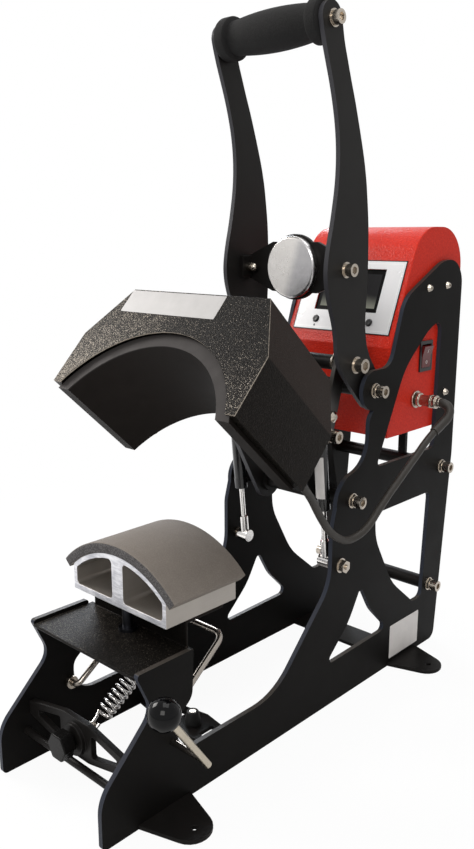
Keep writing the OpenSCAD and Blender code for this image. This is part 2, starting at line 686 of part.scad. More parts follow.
module lever_rod() {
    color("#b59a66") bail_place(lever_turn - 90) difference() {
        translate([lever_x, 0, -7]) cylinder(h = lever_len + 3, d = lever_d);
        rotate([0, 90, 0]) cylinder(h = lever_x - lever_seat, d = wire_d);
    }
}
module lever_ball() {
    color("#101010") bail_place(lever_turn - 90) difference() {
        translate([lever_x, 0, lever_len]) sphere(d = lever_ball_d);
        translate([lever_x, 0, lever_len - 20]) cylinder(h = 16, d = lever_d);
    }
}
module bail_collars() {
    color("#c8c8c8") bail_place(0) for (x = [-frame_in + free_gap, frame_in - free_gap - collar_w])
        difference() { xrod([0, 0], x, x + collar_w, wire_d + 7); xrod([0, 0], x - 1, x + collar_w + 1, wire_d); }
}

// tension spring: one wire through the eye, the curls and the hook on the cross bar
bar_pos = bail_pivot + bail_r * [cos(bail_angle), sin(bail_angle)];
spring_len = norm(bar_pos - eye_pos);
spring_lean = atan2(bar_pos[1] - eye_pos[1], bar_pos[0] - eye_pos[0]);
coil_r = (spring_od - spring_wire) / 2;
coil_start = 19;
coil_pitch = (spring_len - 40 - coil_start) / spring_turns;
coil_end = coil_start + coil_pitch * spring_turns;
hook_r = wire_d / 2 + spring_wire / 2 + 2.4;
hook_c = spring_len + wire_d / 2 + spring_wire / 2 + 2.3 - hook_r;
eye_r = 2 + spring_wire / 2 + 0.7;
// points as [along, across x, across]
spring_path = concat(
    [[6.5 + spring_wire, eye_r, 0], [6.5, eye_r, 0]],
    [for (a = [30:30:150]) [6.5 - eye_r * sin(a), eye_r * cos(a), 0]],
    [[6.5, -eye_r, 0], [11, -eye_r, 0], [15, -eye_r - 1, 0]],
    [for (i = [0:8 * spring_turns + 2]) let(a = 180 + 45 * i)
        [coil_start + coil_pitch * i / 8, coil_r * cos(a), coil_r * sin(a)]],
    [for (t = [0.3, 0.7]) [coil_end + 6 + 8 * t, 0, -coil_r + (coil_r - hook_r) * t]],
    [[coil_end + 16, 0, -hook_r], [hook_c - 6, 0, -hook_r], [hook_c, 0, -hook_r]],
    [for (a = [30:30:150]) [hook_c + hook_r * sin(a), 0, -hook_r * cos(a)]],
    [[hook_c, 0, hook_r], [hook_c - 6, 0, hook_r], [hook_c - 6 - spring_wire, 0, hook_r]]);
function spring_xyz(p) = [p[1], eye_pos[0] + p[0] * cos(spring_lean) - p[2] * sin(spring_lean),
    eye_pos[1] + p[0] * sin(spring_lean) + p[2] * cos(spring_lean)];
// sweep a round tube along points
function tangents(p) = let(n = len(p)) [for (i = [0:n - 1]) unit(p[min(i + 1, n - 1)] - p[max(i - 1, 0)])];
function normals(t, n0) = [for (i = 0, n = unit(n0 - (n0 * t[0]) * t[0]); i < len(t);
    i = i + 1, n = i < len(t) ? unit(n - (n * t[i]) * t[i]) : n) n];
module tube(p, r, sides, n0) {
    t = tangents(p);
    n = normals(t, n0);
    k = len(p);
    pts = [for (i = [0:k - 1]) let(b = cross(t[i], n[i])) for (j = [0:sides - 1])
        p[i] + r * (cos(360 * j / sides) * n[i] + sin(360 * j / sides) * b)];
    side = [for (i = [0:k - 2]) for (j = [0:sides - 1]) let(a = i * sides + j, b = i * sides + (j + 1) % sides)
        each [[a, a + sides, b], [b, a + sides, b + sides]]];
    polyhedron(points = pts, faces = concat(side, [[for (j = [0:sides - 1]) j]],
        [[for (j = [sides - 1:-1:0]) (k - 1) * sides + j]]));
}
spring_pts = [for (p = spring_path) spring_xyz(p)];
spring_gap = min([for (i = [0:len(spring_pts) - 1]) for (j = [i + 5:1:len(spring_pts) - 1])
    norm(spring_pts[i] - spring_pts[j])]) - spring_wire;
echo(spring_gap = spring_gap);
module tension_spring() { color("#d0d0d2") tube(spring_pts, spring_wire / 2, 6, [1, 0.2, 0.1]); }

// control box
function box_outline(t) = let(top = box_top - t, far = box_front + (top - box_kink) * tan(box_tilt) + t / cos(box_tilt))
    rounded([[box_front + t, box_bottom + t, 0], [box_front + t, box_kink - t * tan(box_tilt / 2), 4],
        [far, top, box_round - t], [box_rear - t, top, box_round - t], [box_rear - t, box_bottom + t, 0]]);
box_hw = frame_in - box_t;
lcd_low = 38.2;
board_z = -box_t - 8;
inlet_pos = [-30, 312];
fuse_pos = [52, 455];
module control_box_shell() {
    color("#b0140c") difference() {
        union() {
            difference() {
                yz(-box_hw, 2 * box_hw) polygon(box_outline(0));
                yz(-box_hw - 1, 2 * box_hw + 2) polygon(box_outline(box_t));
            }
            on_panel() for (x = [-56, 56], y = [16, 96]) translate([x, y, board_z]) cylinder(h = 8.5, d = 6);
        }
        on_panel() translate([-lcd_w / 2, lcd_low, -4]) cube([lcd_w, lcd_h, 8]);
        on_panel() for (x = button_x) translate([x, button_up, -4]) cylinder(h = 8, d = button_d + 1);
        translate([inlet_pos[0] - 20, box_rear - 4, inlet_pos[1] - 12]) cube([40, 8, 24]);
        yrod(fuse_pos[0], fuse_pos[1], box_rear - 5, box_rear + 5, 12.4);
    }
}
module control_box_ends() {
    color("#b0140c") difference() {
        union() {
            yz(box_hw, box_t) polygon(box_outline(0));
            yz(-frame_in, box_t) polygon(box_outline(0));
            pair() for (p = box_screws) difference() { xrod(p, box_hw - 5, box_hw, 9); xrod(p, box_hw - 6, box_hw, 4.4); }
        }
        pair() for (p = box_screws) xrod(p, box_hw - 1, frame_in + 1, 4.4);
        xrod(socket_pos, box_hw - 1, frame_in + 1, 9.4);
        translate([box_hw - 1, switch_pos[0] - 11.1, switch_pos[1] - 15]) cube([box_t + 2, 22.2, 30]);
    }
}
module panel_overlay() {
    color("#c9ccce") on_panel() difference() {
        translate([-67, 13.5, 0]) cube([134, 86, overlay_t]);
        translate([-lcd_w / 2, lcd_low, -1]) cube([lcd_w, lcd_h, 4]);
        for (x = button_x) translate([x, button_up, -1]) cylinder(h = 4, d = button_d + 1);
    }
}
module display() {
    color("#20282a") on_panel() translate([-lcd_w / 2 - 2, lcd_low - 2, board_z]) cube([lcd_w + 4, lcd_h + 4, 8]);
}
module control_board() {
    color("#1c5a34") on_panel() {
        translate([-62, 10, board_z - 1.6]) cube([124, 92, 1.6]);
        for (x = button_x) translate([x - 3, button_up - 3, board_z - 0.1]) cube([6, 6, 4]);
        translate([-20, 45, board_z - 14]) cube([40, 34, 13]);
    }
}
module push_button(x) {
    color("#2a2a2c") on_panel() translate([x, button_up, 0]) {
        translate([0, 0, board_z + 5.6]) cylinder(h = 1 - box_t - board_z - 5.6 + overlay_t + 1.2, d = button_d);
    }
}
module button_1() { push_button(button_x[0]); }
module button_2() { push_button(button_x[1]); }
module button_3() { push_button(button_x[2]); }
module switch_frame() {
    color("#161616") difference() {
        union() {
            translate([frame_in, switch_pos[0] - 13, switch_pos[1] - 17.5]) cube([2, 26, 35]);
            translate([frame_in - 18, switch_pos[0] - 11, switch_pos[1] - 14.9]) cube([18.5, 22, 29.8]);
        }
        translate([frame_in - 14, switch_pos[0] - 10, switch_pos[1] - 13.5]) cube([20, 20, 27]);
        yrod(frame_in - 2, switch_pos[1], switch_pos[0] - 12, switch_pos[0] + 12, 3 + 2 * run_gap);
    }
}
module rocker() {
    color("#5a0c0c") {
        translate([frame_in - 2, switch_pos[0], switch_pos[1]]) rotate([0, 8, 0])
            xz(-9.4, 18.8) polygon([[-8, -5], [-4, -12.4], [6, -12.4], [4.6, 0], [6, 12.4], [-4, 12.4], [-8, 5]]);
        yrod(frame_in - 2, switch_pos[1], switch_pos[0] - 10.8, switch_pos[0] + 10.8, 3);
    }
}
module fuse_holder() {
    color("#161616") {
        yrod(fuse_pos[0], fuse_pos[1], box_rear - 24, box_rear + 4, 12);
        yrod(fuse_pos[0], fuse_pos[1], box_rear, box_rear + 14, 16);
    }
}
module power_inlet() {
    color("#161616") difference() {
        union() {
            translate([inlet_pos[0] - 24, box_rear, inlet_pos[1] - 15]) cube([48, 3, 30]);
            translate([inlet_pos[0] - 19.8, box_rear - 18, inlet_pos[1] - 11.8]) cube([39.6, 19, 23.6]);
        }
        translate([inlet_pos[0] - 14, box_rear - 14, inlet_pos[1] - 8]) cube([28, 20, 16]);
        for (x = [-7, 0, 7]) translate([0, 0, 0]) yrod(inlet_pos[0] + x, inlet_pos[1], box_rear - 20, box_rear - 10, 2.5);
    }
}
module heater_socket() {
    color("#c8c8c8") {
        xrod(socket_pos, frame_in - 14, frame_in + 10, 9);
        xrod(socket_pos, frame_in, frame_in + 3, 20);
    }
}
plug_end = frame_in + 33;
module heater_plug() {
    color("#b8b8ba") difference() {
        union() {
            xrod(socket_pos, frame_in + 5, frame_in + 8, 16);
            xrod(socket_pos, frame_in + 7, frame_in + 20, 12.5);
            for (x = [19, 24.5]) xrod(socket_pos, frame_in + x, frame_in + x + 4, 15);
            xrod(socket_pos, frame_in + 20, plug_end, 11);
        }
        xrod(socket_pos, frame_in + 4, frame_in + 10, 9.4);
        xrod(socket_pos, plug_end - 5, plug_end + 1, cable_d + 0.4);
    }
}

// heater cable from the plug, round outside the right plate, to the head
cable_out = opened([head_y + cover_len - 1, grommet_pos[1]]);
cable_way = opened([head_y + cover_len + 16, grommet_pos[1]]);
cable_pts = [[plug_end - 4, 204, 316], [plug_end + 4, 204, 315], [117, 201, 308], [119, 194, 298], [118, 182, 287],
    [116, 168, 276], [113, 155, 265], [111, 140, 250], [109, 125, 233], [107, 112, 219], [105, 98, 207], [102, 80, 199],
    [100, 62, 195], [98, 46, 195], [97, 30, 201], [96, 16, 212], [96, 4, 226], [96, -6, 240], [97, -15, 252],
    [grommet_pos[0], cable_way[0], cable_way[1]], [grommet_pos[0], cable_out[0], cable_out[1]]];
module heater_cable() { color("#151515") tube(cable_pts, cable_d / 2, 10, [0, 1, 0.3]); }

left_side_frame();
right_side_frame();
front_feet();
rear_foot_plate();
middle_cross_plate();
rubber_bumper();
front_cross_plate();
front_tie_rod();
cross_rods();
frame_fasteners();
gas_low_studs();
platen_tray();
platen_post();
lower_platen();
platen_pad();
control_box_shell();
control_box_ends();
panel_overlay();
display();
control_board();
switch_frame();
fuse_holder();
power_inlet();
heater_socket();
heater_plug();
heater_cable();
left_handle_arm();
right_handle_arm();
grip_rod();
foam_grip();
handle_cross_plate();
steel_disc();
handle_bolts();
left_link();
right_link();
left_head_arm();
right_head_arm();
head_bolts();
magnet_carrier();
electromagnet();
heater_block();
heating_cartridges();
heater_cover();
cable_grommet();
gas_top_studs();
left_gas_rod();
right_gas_rod();
left_gas_tube();
right_gas_tube();
hold_down_wire();
lever_rod();
lever_ball();
bail_collars();
tension_spring();
eye_bolt();
adjusting_knob();
rocker();
button_1();
button_2();
button_3();
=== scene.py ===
import json
import math

import bpy
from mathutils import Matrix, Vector


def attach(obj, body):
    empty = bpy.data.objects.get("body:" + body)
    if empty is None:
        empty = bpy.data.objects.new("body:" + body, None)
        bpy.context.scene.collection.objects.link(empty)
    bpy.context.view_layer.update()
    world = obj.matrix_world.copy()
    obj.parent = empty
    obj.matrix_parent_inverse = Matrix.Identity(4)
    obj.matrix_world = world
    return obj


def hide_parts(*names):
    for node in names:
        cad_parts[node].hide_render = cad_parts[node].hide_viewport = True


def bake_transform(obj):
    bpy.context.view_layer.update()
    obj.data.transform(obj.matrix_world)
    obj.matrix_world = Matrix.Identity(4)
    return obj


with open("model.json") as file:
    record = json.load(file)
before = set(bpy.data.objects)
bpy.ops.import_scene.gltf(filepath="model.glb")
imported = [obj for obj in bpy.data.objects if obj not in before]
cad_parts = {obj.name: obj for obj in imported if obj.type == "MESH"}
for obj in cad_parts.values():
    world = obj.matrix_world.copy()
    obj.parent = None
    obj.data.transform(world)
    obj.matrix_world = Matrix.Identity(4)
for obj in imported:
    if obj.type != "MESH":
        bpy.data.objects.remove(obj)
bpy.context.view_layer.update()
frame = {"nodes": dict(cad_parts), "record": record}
nodes = frame["nodes"]
bpy.ops.object.select_all(action="DESELECT")
print("frame loaded:", len(nodes), "nodes")


# shader maths: a Wire is one socket, and its operators add Math nodes
class Wire:
    def __init__(self, tree, socket):
        self.tree, self.socket = tree, socket

    def maths(self, operation, *values):
        return makeNode(self.tree, "ShaderNodeMath", {"operation": operation}, dict(enumerate(values)))

    def __add__(self, other): return self.maths("ADD", self, other)
    def __radd__(self, other): return self.maths("ADD", other, self)
    def __sub__(self, other): return self.maths("SUBTRACT", self, other)
    def __rsub__(self, other): return self.maths("SUBTRACT", other, self)
    def __mul__(self, other): return self.maths("MULTIPLY", self, other)
    def __rmul__(self, other): return self.maths("MULTIPLY", other, self)
    def __abs__(self): return self.maths("ABSOLUTE", self)
    def clamp(self): return makeNode(self.tree, "ShaderNodeClamp", {}, {0: self})

    def ramp(self, low, high):  # 0 below low, 1 above high
        return makeNode(self.tree, "ShaderNodeMapRange", {"interpolation_type": "SMOOTHSTEP"},
                        {"Value": self, "From Min": low, "From Max": high})


def makeNode(tree, kind, settings, inputs, out=0):
    node = tree.nodes.new(kind)
    for key, value in settings.items():
        setattr(node, key, value)
    for key, value in inputs.items():
        socket = node.inputs[key]
        if isinstance(value, Wire):
            tree.links.new(value.socket, socket)
        else:
            socket.default_value = value
    return Wire(tree, node.outputs[out])


# a finish: the Principled shader with helpers for its patterns
inputNames = {"color": "Base Color", "rough": "Roughness", "metal": "Metallic", "coat": "Coat Weight",
              "coatRough": "Coat Roughness", "normal": "Normal", "shine": "Specular IOR Level"}
colorMix = {"mask": 0, "first": 6, "second": 7, "result": 2}  # sockets of a Mix node set to colours


class Finish:
    def __init__(self, name):
        self.material = bpy.data.materials.new(name)
        self.material.use_nodes = True
        self.tree = self.material.node_tree
        self.shader = self.tree.nodes["Principled BSDF"]
        self.place = self.node("ShaderNodeTexCoord", {}, {}, "Object")

    def node(self, kind, settings, inputs, out=0):
        return makeNode(self.tree, kind, settings, inputs, out)

    def noise(self, scale, detail=3.0, rough=0.5, place=None):
        return self.node("ShaderNodeTexNoise", {}, {"Vector": place or self.place, "Scale": scale,
                                                    "Detail": detail, "Roughness": rough})

    def cells(self, scale, feature, smooth=0.0):
        inputs = {"Vector": self.place, "Scale": scale}
        if feature == "SMOOTH_F1":
            inputs["Smoothness"] = smooth
        return self.node("ShaderNodeTexVoronoi", {"feature": feature}, inputs, "Distance")

    def stretched(self, scale):
        return self.node("ShaderNodeMapping", {}, {"Vector": self.place, "Scale": scale})

    def axis(self, name):  # one object coordinate, in metres
        return self.node("ShaderNodeSeparateXYZ", {}, {0: self.place}, name)

    def facing(self, name):  # one part of the surface direction
        normal = self.node("ShaderNodeNewGeometry", {}, {}, "True Normal")
        return self.node("ShaderNodeSeparateXYZ", {}, {0: normal}, name)

    def give(self, socket, value):  # a wire, a tone or a number into one socket
        if isinstance(value, Wire):
            self.tree.links.new(value.socket, socket)
        else:
            socket.default_value = (*value, 1.0) if hasattr(value, "__len__") else value

    def mix(self, mask, first, second):
        node = self.tree.nodes.new("ShaderNodeMix")
        node.data_type = "RGBA"
        for key, value in (("mask", mask), ("first", first), ("second", second)):
            self.give(node.inputs[colorMix[key]], value)
        return Wire(self.tree, node.outputs[colorMix["result"]])

    def bump(self, height, strength, distance):
        return self.node("ShaderNodeBump", {}, {"Height": height, "Strength": strength, "Distance": distance})

    def set(self, **values):
        for key, value in values.items():
            self.give(self.shader.inputs[inputNames[key]], value)


def satinBlack(name, tone, shine, blueEdgeReflection):  # the last argument sets how strongly a bluish painted reflection tints the edges that face forward
    f = Finish(name)
    # the plates' edges are painted lighter and brownish as a painted highlight, and bluish as a painted reflection
    # where they face forward
    edge = 1 - abs(f.facing("X")).ramp(0.3, 0.7)
    cloud = f.noise(35, 4)
    grain = f.noise(1300, 2)
    front = (f.facing("Y") * -1).ramp(0.35, 0.8) * blueEdgeReflection
    rim = f.mix(front, (0.046, 0.040, 0.035), (0.031, 0.035, 0.047))
    f.set(color=f.mix(edge, (tone * 1.1, tone, tone * 0.94), rim), shine=shine,
          rough=0.42 + cloud * 0.14 - edge * 0.16, normal=f.bump(grain, 0.18, 0.0004))
    return f.material


def plainBlack():  # the same coat on bars and rods
    f = Finish("plain black coat")
    f.set(color=f.mix(f.noise(60, 3), (0.0050, 0.0045, 0.0042), (0.0105, 0.0095, 0.0090)), shine=0.10,
          rough=0.34 + f.noise(45, 4) * 0.12, normal=f.bump(f.noise(1300, 2), 0.15, 0.0004))
    return f.material


# the open head: its angle, and bands along its front direction or up z, in metres
headOpen = math.radians(43)
coverBand = {"front": (0.3520, 0.3542), "foldStart": (0.3534, 0.3538), "foldEnd": (0.3544, 0.3546),
             "low": (0.362, 0.420)}
blockFront = (0.3480, 0.3494)


def alongHead(f):  # distance along the open head's own front direction, in metres
    return f.axis("Z") * math.sin(headOpen) - f.axis("Y") * math.cos(headOpen)


def hammeredBlack(name, scale, sparkle, depth, onHead):
    f = Finish(name)
    dents = f.cells(scale, "SMOOTH_F1", 0.4)
    fine = f.noise(scale * 2, 2, 0.6)
    # bright specks mixed into the colour are painted glints, denser towards -x
    paintedGlintField = f.noise(scale * 1.2, 1.5) + (f.noise(28, 3) * 0.05 - f.axis("X")).ramp(-0.03, 0.10) * 0.10
    if onHead:  # painted glints on the cover's front, denser low down, and a painted highlight along its folds
        along = alongHead(f)
        lit = along.ramp(*coverBand["front"])
        fold = along.ramp(*coverBand["foldStart"]) * (1 - along.ramp(*coverBand["foldEnd"]))
        paintedGlintField = paintedGlintField + (1 - f.axis("Z").ramp(*coverBand["low"])) * 0.07 + fold * 0.30
    else:
        # on the tray the painted glints lie on the faces that look up
        lit = f.facing("Z").ramp(0.3, 0.6)
    # the glint tone is a painted highlight, strongest on the front or upward faces
    glint = paintedGlintField.ramp(0.655, 0.74) * (0.05 + lit * 0.87)
    # side faces are painted lighter and brownish as a painted sheen, much lighter where they also face up
    side = f.facing("X").ramp(0.4, 0.6)
    paintedFacetSheen = f.mix(f.facing("Z").ramp(0.0, 0.3), (0.0070, 0.0056, 0.0048), (0.0190, 0.0135, 0.0112))
    paintAndSheen = f.mix(side, (0.0050, 0.0043, 0.0037), paintedFacetSheen)
    f.set(color=f.mix(glint * sparkle, paintAndSheen, (0.42, 0.37, 0.31)), shine=0.045,
          rough=0.30 + fine * 0.2, normal=f.bump(dents + fine * 0.5, 0.6, depth))
    return f.material


def hammeredRed(name, depth, gloss, shine, coat):
    f = Finish(name)
    dents = f.cells(520, "SMOOTH_F1", 0.6)
    fine = f.noise(1200, 3, 0.6)
    f.set(color=f.mix(f.noise(450, 4, 0.7).ramp(0.35, 0.7), (0.46, 0.017, 0.008), (0.60, 0.028, 0.012)), shine=shine,
          rough=gloss + fine * 0.2, coat=coat, coatRough=0.12, normal=f.bump(dents + fine * 0.5, 0.6, depth))
    return f.material


def brightSteel(name, tone, rough, streak=(1, 1, 1)):
    f = Finish(name)
    grain = f.noise(700, 3, 0.6, f.stretched(streak))
    stain = f.noise(90, 4)
    f.set(color=f.mix(stain, tone, tuple(c * 0.82 for c in tone)), metal=1.0, rough=rough + grain * 0.12,
          normal=f.bump(grain, 0.05, 0.0002))
    return f.material


def polishedDisc():  # polished by hand, with faint smears, and a darker bluish-grey painted reflection across one side
    f = Finish("polished disc")
    smear = f.noise(26, 5, 0.65, f.stretched((1, 2.5, 1)))
    # a painted reflection: darker bluish grey towards +x and low down
    paintedDarkReflection = (f.axis("X") - 0.002 - (f.axis("Z") - 0.466) * 0.3).ramp(-0.005, 0.009)
    bright = f.mix(smear.ramp(0.35, 0.7), (0.84, 0.81, 0.78), (0.74, 0.71, 0.68))
    f.set(color=f.mix(paintedDarkReflection * (0.35 + smear * 0.6), bright, (0.34, 0.34, 0.37)), metal=1.0,
          rough=0.16 + smear * 0.22, normal=f.bump(smear, 0.12, 0.003))
    return f.material


def sawnAluminium():  # saw lines on the cut ends, drawn lines along the length
    f = Finish("sawn aluminium")
    end = abs(f.facing("Y")).ramp(0.5, 0.9)
    drawn = f.noise(60, 5, 0.7, f.stretched((14, 0.25, 14)))
    sawn = f.noise(60, 5, 0.7, f.stretched((1.5, 1, 9)))
    lines = drawn * (1 - end) + sawn * end
    wall = f.mix(f.noise(40, 4), (0.42, 0.39, 0.355), (0.33, 0.305, 0.28))
    face = f.mix((sawn * 0.6 + f.noise(45, 4) * 0.5).ramp(0.40, 0.68), (0.72, 0.72, 0.745), (0.44, 0.445, 0.48))
    f.set(color=f.mix(end, wall, face), metal=0.85, rough=0.34 + lines * 0.25, normal=f.bump(lines, 0.3, 0.0004))
    return f.material


def coatedBlock():  # dark release coat inside, greyer on the front band
    f = Finish("coated heater")
    front = alongHead(f).ramp(*blockFront)
    speck = f.noise(900, 2)
    cloud = f.noise(70, 4)
    dark = f.mix(cloud, (0.0092, 0.0076, 0.0068), (0.0145, 0.0122, 0.0110))
    f.set(color=f.mix(front, dark, f.mix(cloud, (0.050, 0.046, 0.045), (0.036, 0.033, 0.032))), shine=0.05,
          rough=0.5 + cloud * 0.15, metal=front * 0.2, normal=f.bump(speck, 0.12, 0.0003))
    return f.material


def foam(name, dark, light, cut, scale, depth):  # cut is the tone of the sawn ends
    f = Finish(name)
    pores = f.cells(scale, "F1")
    cloud = f.noise(scale * 0.08, 4)
    end = abs(f.facing("Y")).ramp(0.7, 0.9)
    crumb = f.mix(f.noise(scale, 2).ramp(0.4, 0.65), tuple(c * 0.4 for c in cut), cut)
    f.set(color=f.mix(end, f.mix((pores * 0.7 + cloud * 0.5).clamp(), dark, light), crumb), rough=0.86, shine=0.2,
          normal=f.bump(pores + f.noise(scale * 2, 3) * 0.4, 0.5, depth))
    return f.material


def rubber(name, tone, rough):
    f = Finish(name)
    grain = f.noise(1600, 3)
    f.set(color=f.mix(f.noise(50, 4), tone, tuple(c * 1.7 + 0.003 for c in tone)), shine=0.35,
          rough=rough + f.noise(120, 3) * 0.12, normal=f.bump(grain, 0.1, 0.0003))
    return f.material


def plastic(name, tone, rough, grain=0.06, shine=0.5):
    f = Finish(name)
    f.set(color=f.mix(f.noise(80, 3), tone, tuple(c * 0.8 for c in tone)), rough=rough + f.noise(150, 3) * 0.06,
          shine=shine, normal=f.bump(f.noise(1500, 2), grain, 0.0002))
    return f.material


# the panel's own axes: x across, up along its slope
panel = {"front": 0.149, "kink": 0.379, "tilt": math.radians(22.4), "width": 0.134, "low": 0.0135, "high": 0.0995,
         "screen": (0.086, 0.0382, 0.0892), "buttons": (-0.037, 0.0, 0.037), "buttonUp": 0.0267}


def panelUp(f):
    return (f.axis("Y") - panel["front"]) * math.sin(panel["tilt"]) + \
        (f.axis("Z") - panel["kink"]) * math.cos(panel["tilt"])


def silverFilm():  # silver film with a dark rim, and a thin pale line inside it
    f = Finish("panel film")
    across, up = abs(f.axis("X")), panelUp(f)
    middle, half = (panel["low"] + panel["high"]) / 2, (panel["high"] - panel["low"]) / 2
    inside = (panel["width"] / 2 - across).maths("MINIMUM", panel["width"] / 2 - across, half - abs(up - middle))
    rim = 1 - inside.ramp(0.0009, 0.0014)
    line = inside.ramp(0.0034, 0.0037) * (1 - inside.ramp(0.0042, 0.0045))
    sheet = f.mix(f.noise(900, 2), (0.74, 0.74, 0.75), (0.68, 0.68, 0.695))
    f.set(color=f.mix(rim, f.mix(line, sheet, (0.80, 0.80, 0.80)), (0.012, 0.012, 0.012)),
          rough=0.22 + f.noise(60, 3) * 0.08, metal=0.25, normal=f.bump(f.noise(1200, 2), 0.03, 0.0002))
    return f.material


def darkScreen():  # an unlit display: black rim, dark glass with a pale grey-green painted reflection towards its foot
    f = Finish("dark screen")
    wide, low, high = panel["screen"]
    across, up = abs(f.axis("X")), panelUp(f)
    inside = up.maths("MINIMUM", wide / 2 - across, up.maths("MINIMUM", up - low, high - up))
    glass = inside.ramp(0.0052, 0.0056)
    # the painted reflection: the glass paler towards its foot
    fade = (up + across * 0.12).ramp(low + 0.004, low + 0.026)
    tone = f.mix(fade, (0.26, 0.27, 0.225), (0.020, 0.020, 0.021))
    f.set(color=f.mix(glass, (0.006, 0.006, 0.006), tone), rough=0.12 + f.noise(200, 2) * 0.05, shine=0.14,
          normal=f.bump(f.noise(800, 2), 0.02, 0.0002))
    return f.material


satin = satinBlack("satin black coat", 0.0042, 0.065, 1)
armCoat = satinBlack("arm black coat", 0.0075, 0.16, 0.6)
black = plainBlack()
trayCoat = hammeredBlack("hammered tray coat", 950, 0.28, 0.0004, False)
coverCoat = hammeredBlack("hammered cover coat", 900, 1.0, 0.0005, True)
boxCoat = hammeredRed("hammered red", 0.0006, 0.22, 0.16, 0.16)
endCoat = hammeredRed("satin red", 0.00012, 0.34, 0.10, 0.03)
zinc = brightSteel("bright zinc", (0.52, 0.465, 0.40), 0.18)
chrome = brightSteel("bright chrome", (0.80, 0.78, 0.76), 0.10)
bluedSteel = brightSteel("blued steel", (0.060, 0.062, 0.072), 0.26, (6, 6, 1))
wireSteel = brightSteel("drawn wire", (0.40, 0.36, 0.32), 0.16)
greySteel = brightSteel("grey steel", (0.14, 0.135, 0.13), 0.32)
brassRod = brightSteel("drawn rod", (0.60, 0.54, 0.44), 0.2, (1, 6, 6))
discSteel = polishedDisc()
aluminium = sawnAluminium()
blockCoat = coatedBlock()
padFoam = foam("pad foam", (0.135, 0.118, 0.102), (0.205, 0.180, 0.158), (0.122, 0.116, 0.117), 900, 0.0003)
gripFoam = foam("grip foam", (0.004, 0.004, 0.0042), (0.013, 0.0128, 0.013), (0.013, 0.0128, 0.013), 1100, 0.0004)
tubeCoat = plastic("gloss black tube", (0.006, 0.006, 0.0065), 0.16, 0.02)
blackRubber = rubber("black rubber", (0.008, 0.008, 0.008), 0.5)
cableRubber = rubber("cable rubber", (0.018, 0.0155, 0.013), 0.45)
blackPlastic = plastic("black plastic", (0.010, 0.010, 0.0105), 0.32)
knobPlastic = plastic("knob plastic", (0.0045, 0.0042, 0.0040), 0.24, 0.05, 0.10)
ballPlastic = plastic("ball plastic", (0.0022, 0.0022, 0.0026), 0.04, 0.01, 0.16)
panelFilm = silverFilm()
screenGlass = darkScreen()
boardGreen = plastic("board green", (0.02, 0.14, 0.06), 0.4)
rockerRed = plastic("rocker red", (0.10, 0.006, 0.006), 0.16, 0.01)
labelWhite = plastic("blank label", (0.72, 0.69, 0.67), 0.38, 0.03, 0.3)
# the cover's sticker: blank label white painted darker, as shade
shadedStickerWhite = plastic("blank sticker", (0.45, 0.44, 0.435), 0.38, 0.03, 0.3)
markWhite = plastic("mark white", (0.62, 0.60, 0.58), 0.4)
markBlack = plastic("mark black", (0.015, 0.015, 0.015), 0.4)

nodeFinish = {
    satin: ["left_side_frame", "right_side_frame"],
    armCoat: ["left_handle_arm", "right_handle_arm", "left_head_arm", "right_head_arm"],
    black: ["front_feet", "rear_foot_plate", "middle_cross_plate", "front_cross_plate", "front_tie_rod",
            "cross_rods", "handle_cross_plate"],
    trayCoat: ["platen_tray"], coverCoat: ["heater_cover"],
    boxCoat: ["control_box_shell"], endCoat: ["control_box_ends"],
    zinc: ["frame_fasteners", "gas_low_studs", "handle_bolts", "head_bolts", "gas_top_studs", "magnet_carrier",
           "bail_collars", "eye_bolt", "heater_socket", "heater_plug"],
    chrome: ["left_gas_rod", "right_gas_rod", "tension_spring"], wireSteel: ["hold_down_wire"],
    bluedSteel: ["platen_post"], discSteel: ["steel_disc"],
    greySteel: ["left_link", "right_link", "electromagnet", "grip_rod", "heating_cartridges"],
    brassRod: ["lever_rod"], aluminium: ["lower_platen"], blockCoat: ["heater_block"], padFoam: ["platen_pad"],
    gripFoam: ["foam_grip"], tubeCoat: ["left_gas_tube", "right_gas_tube"],
    blackRubber: ["rubber_bumper", "cable_grommet"], cableRubber: ["heater_cable"],
    blackPlastic: ["switch_frame", "fuse_holder", "power_inlet", "button_1", "button_2", "button_3"],
    knobPlastic: ["adjusting_knob"], ballPlastic: ["lever_ball"], panelFilm: ["panel_overlay"],
    screenGlass: ["display"], boardGreen: ["control_board"], rockerRed: ["rocker"]}
for finish, names in nodeFinish.items():
    for name in names:
        nodes[name].data.materials.clear()
        nodes[name].data.materials.append(finish)
print("finishes set")

# camera where the photo was taken from
shot = {"place": (0.5673, -0.6218, 0.4984), "tilt": 77.278, "turn": 43.112,
        "focalPixels": 837.11, "tallPixels": 849, "sensor": 36, "nearest": 0.01}
bpy.ops.object.camera_add(location=shot["place"], rotation=(math.radians(shot["tilt"]), 0, math.radians(shot["turn"])))
camera = bpy.context.object
camera.data.lens = shot["focalPixels"] / shot["tallPixels"] * shot["sensor"]
camera.data.sensor_width = shot["sensor"]
camera.data.clip_start = shot["nearest"]
bpy.context.scene.camera = camera

# floor, soft lamps and a white surround
studio = {"floorSize": 12, "floorLevel": -0.0005, "floorTone": (0.86, 0.86, 0.86), "fade": (0.35, 0.9), "near": 0.94,
          "surround": 0.40, "mirrored": 0.85, "target": (0, 0, 0.3)}
lamps = [("keyLamp", (1.0, -1.5, 1.6), 1.0, 20, (1.0, 0.97, 0.93)),
         ("leftLamp", (-1.75, -0.55, 1.35), 0.9, 34, (1.0, 0.97, 0.94)),
         ("rimLamp", (-1.5, 1.2, 1.05), 0.9, 26, (0.86, 0.92, 1.0)),
         ("topLamp", (0.2, 0.2, 2.1), 1.2, 14, (1, 1, 1))]


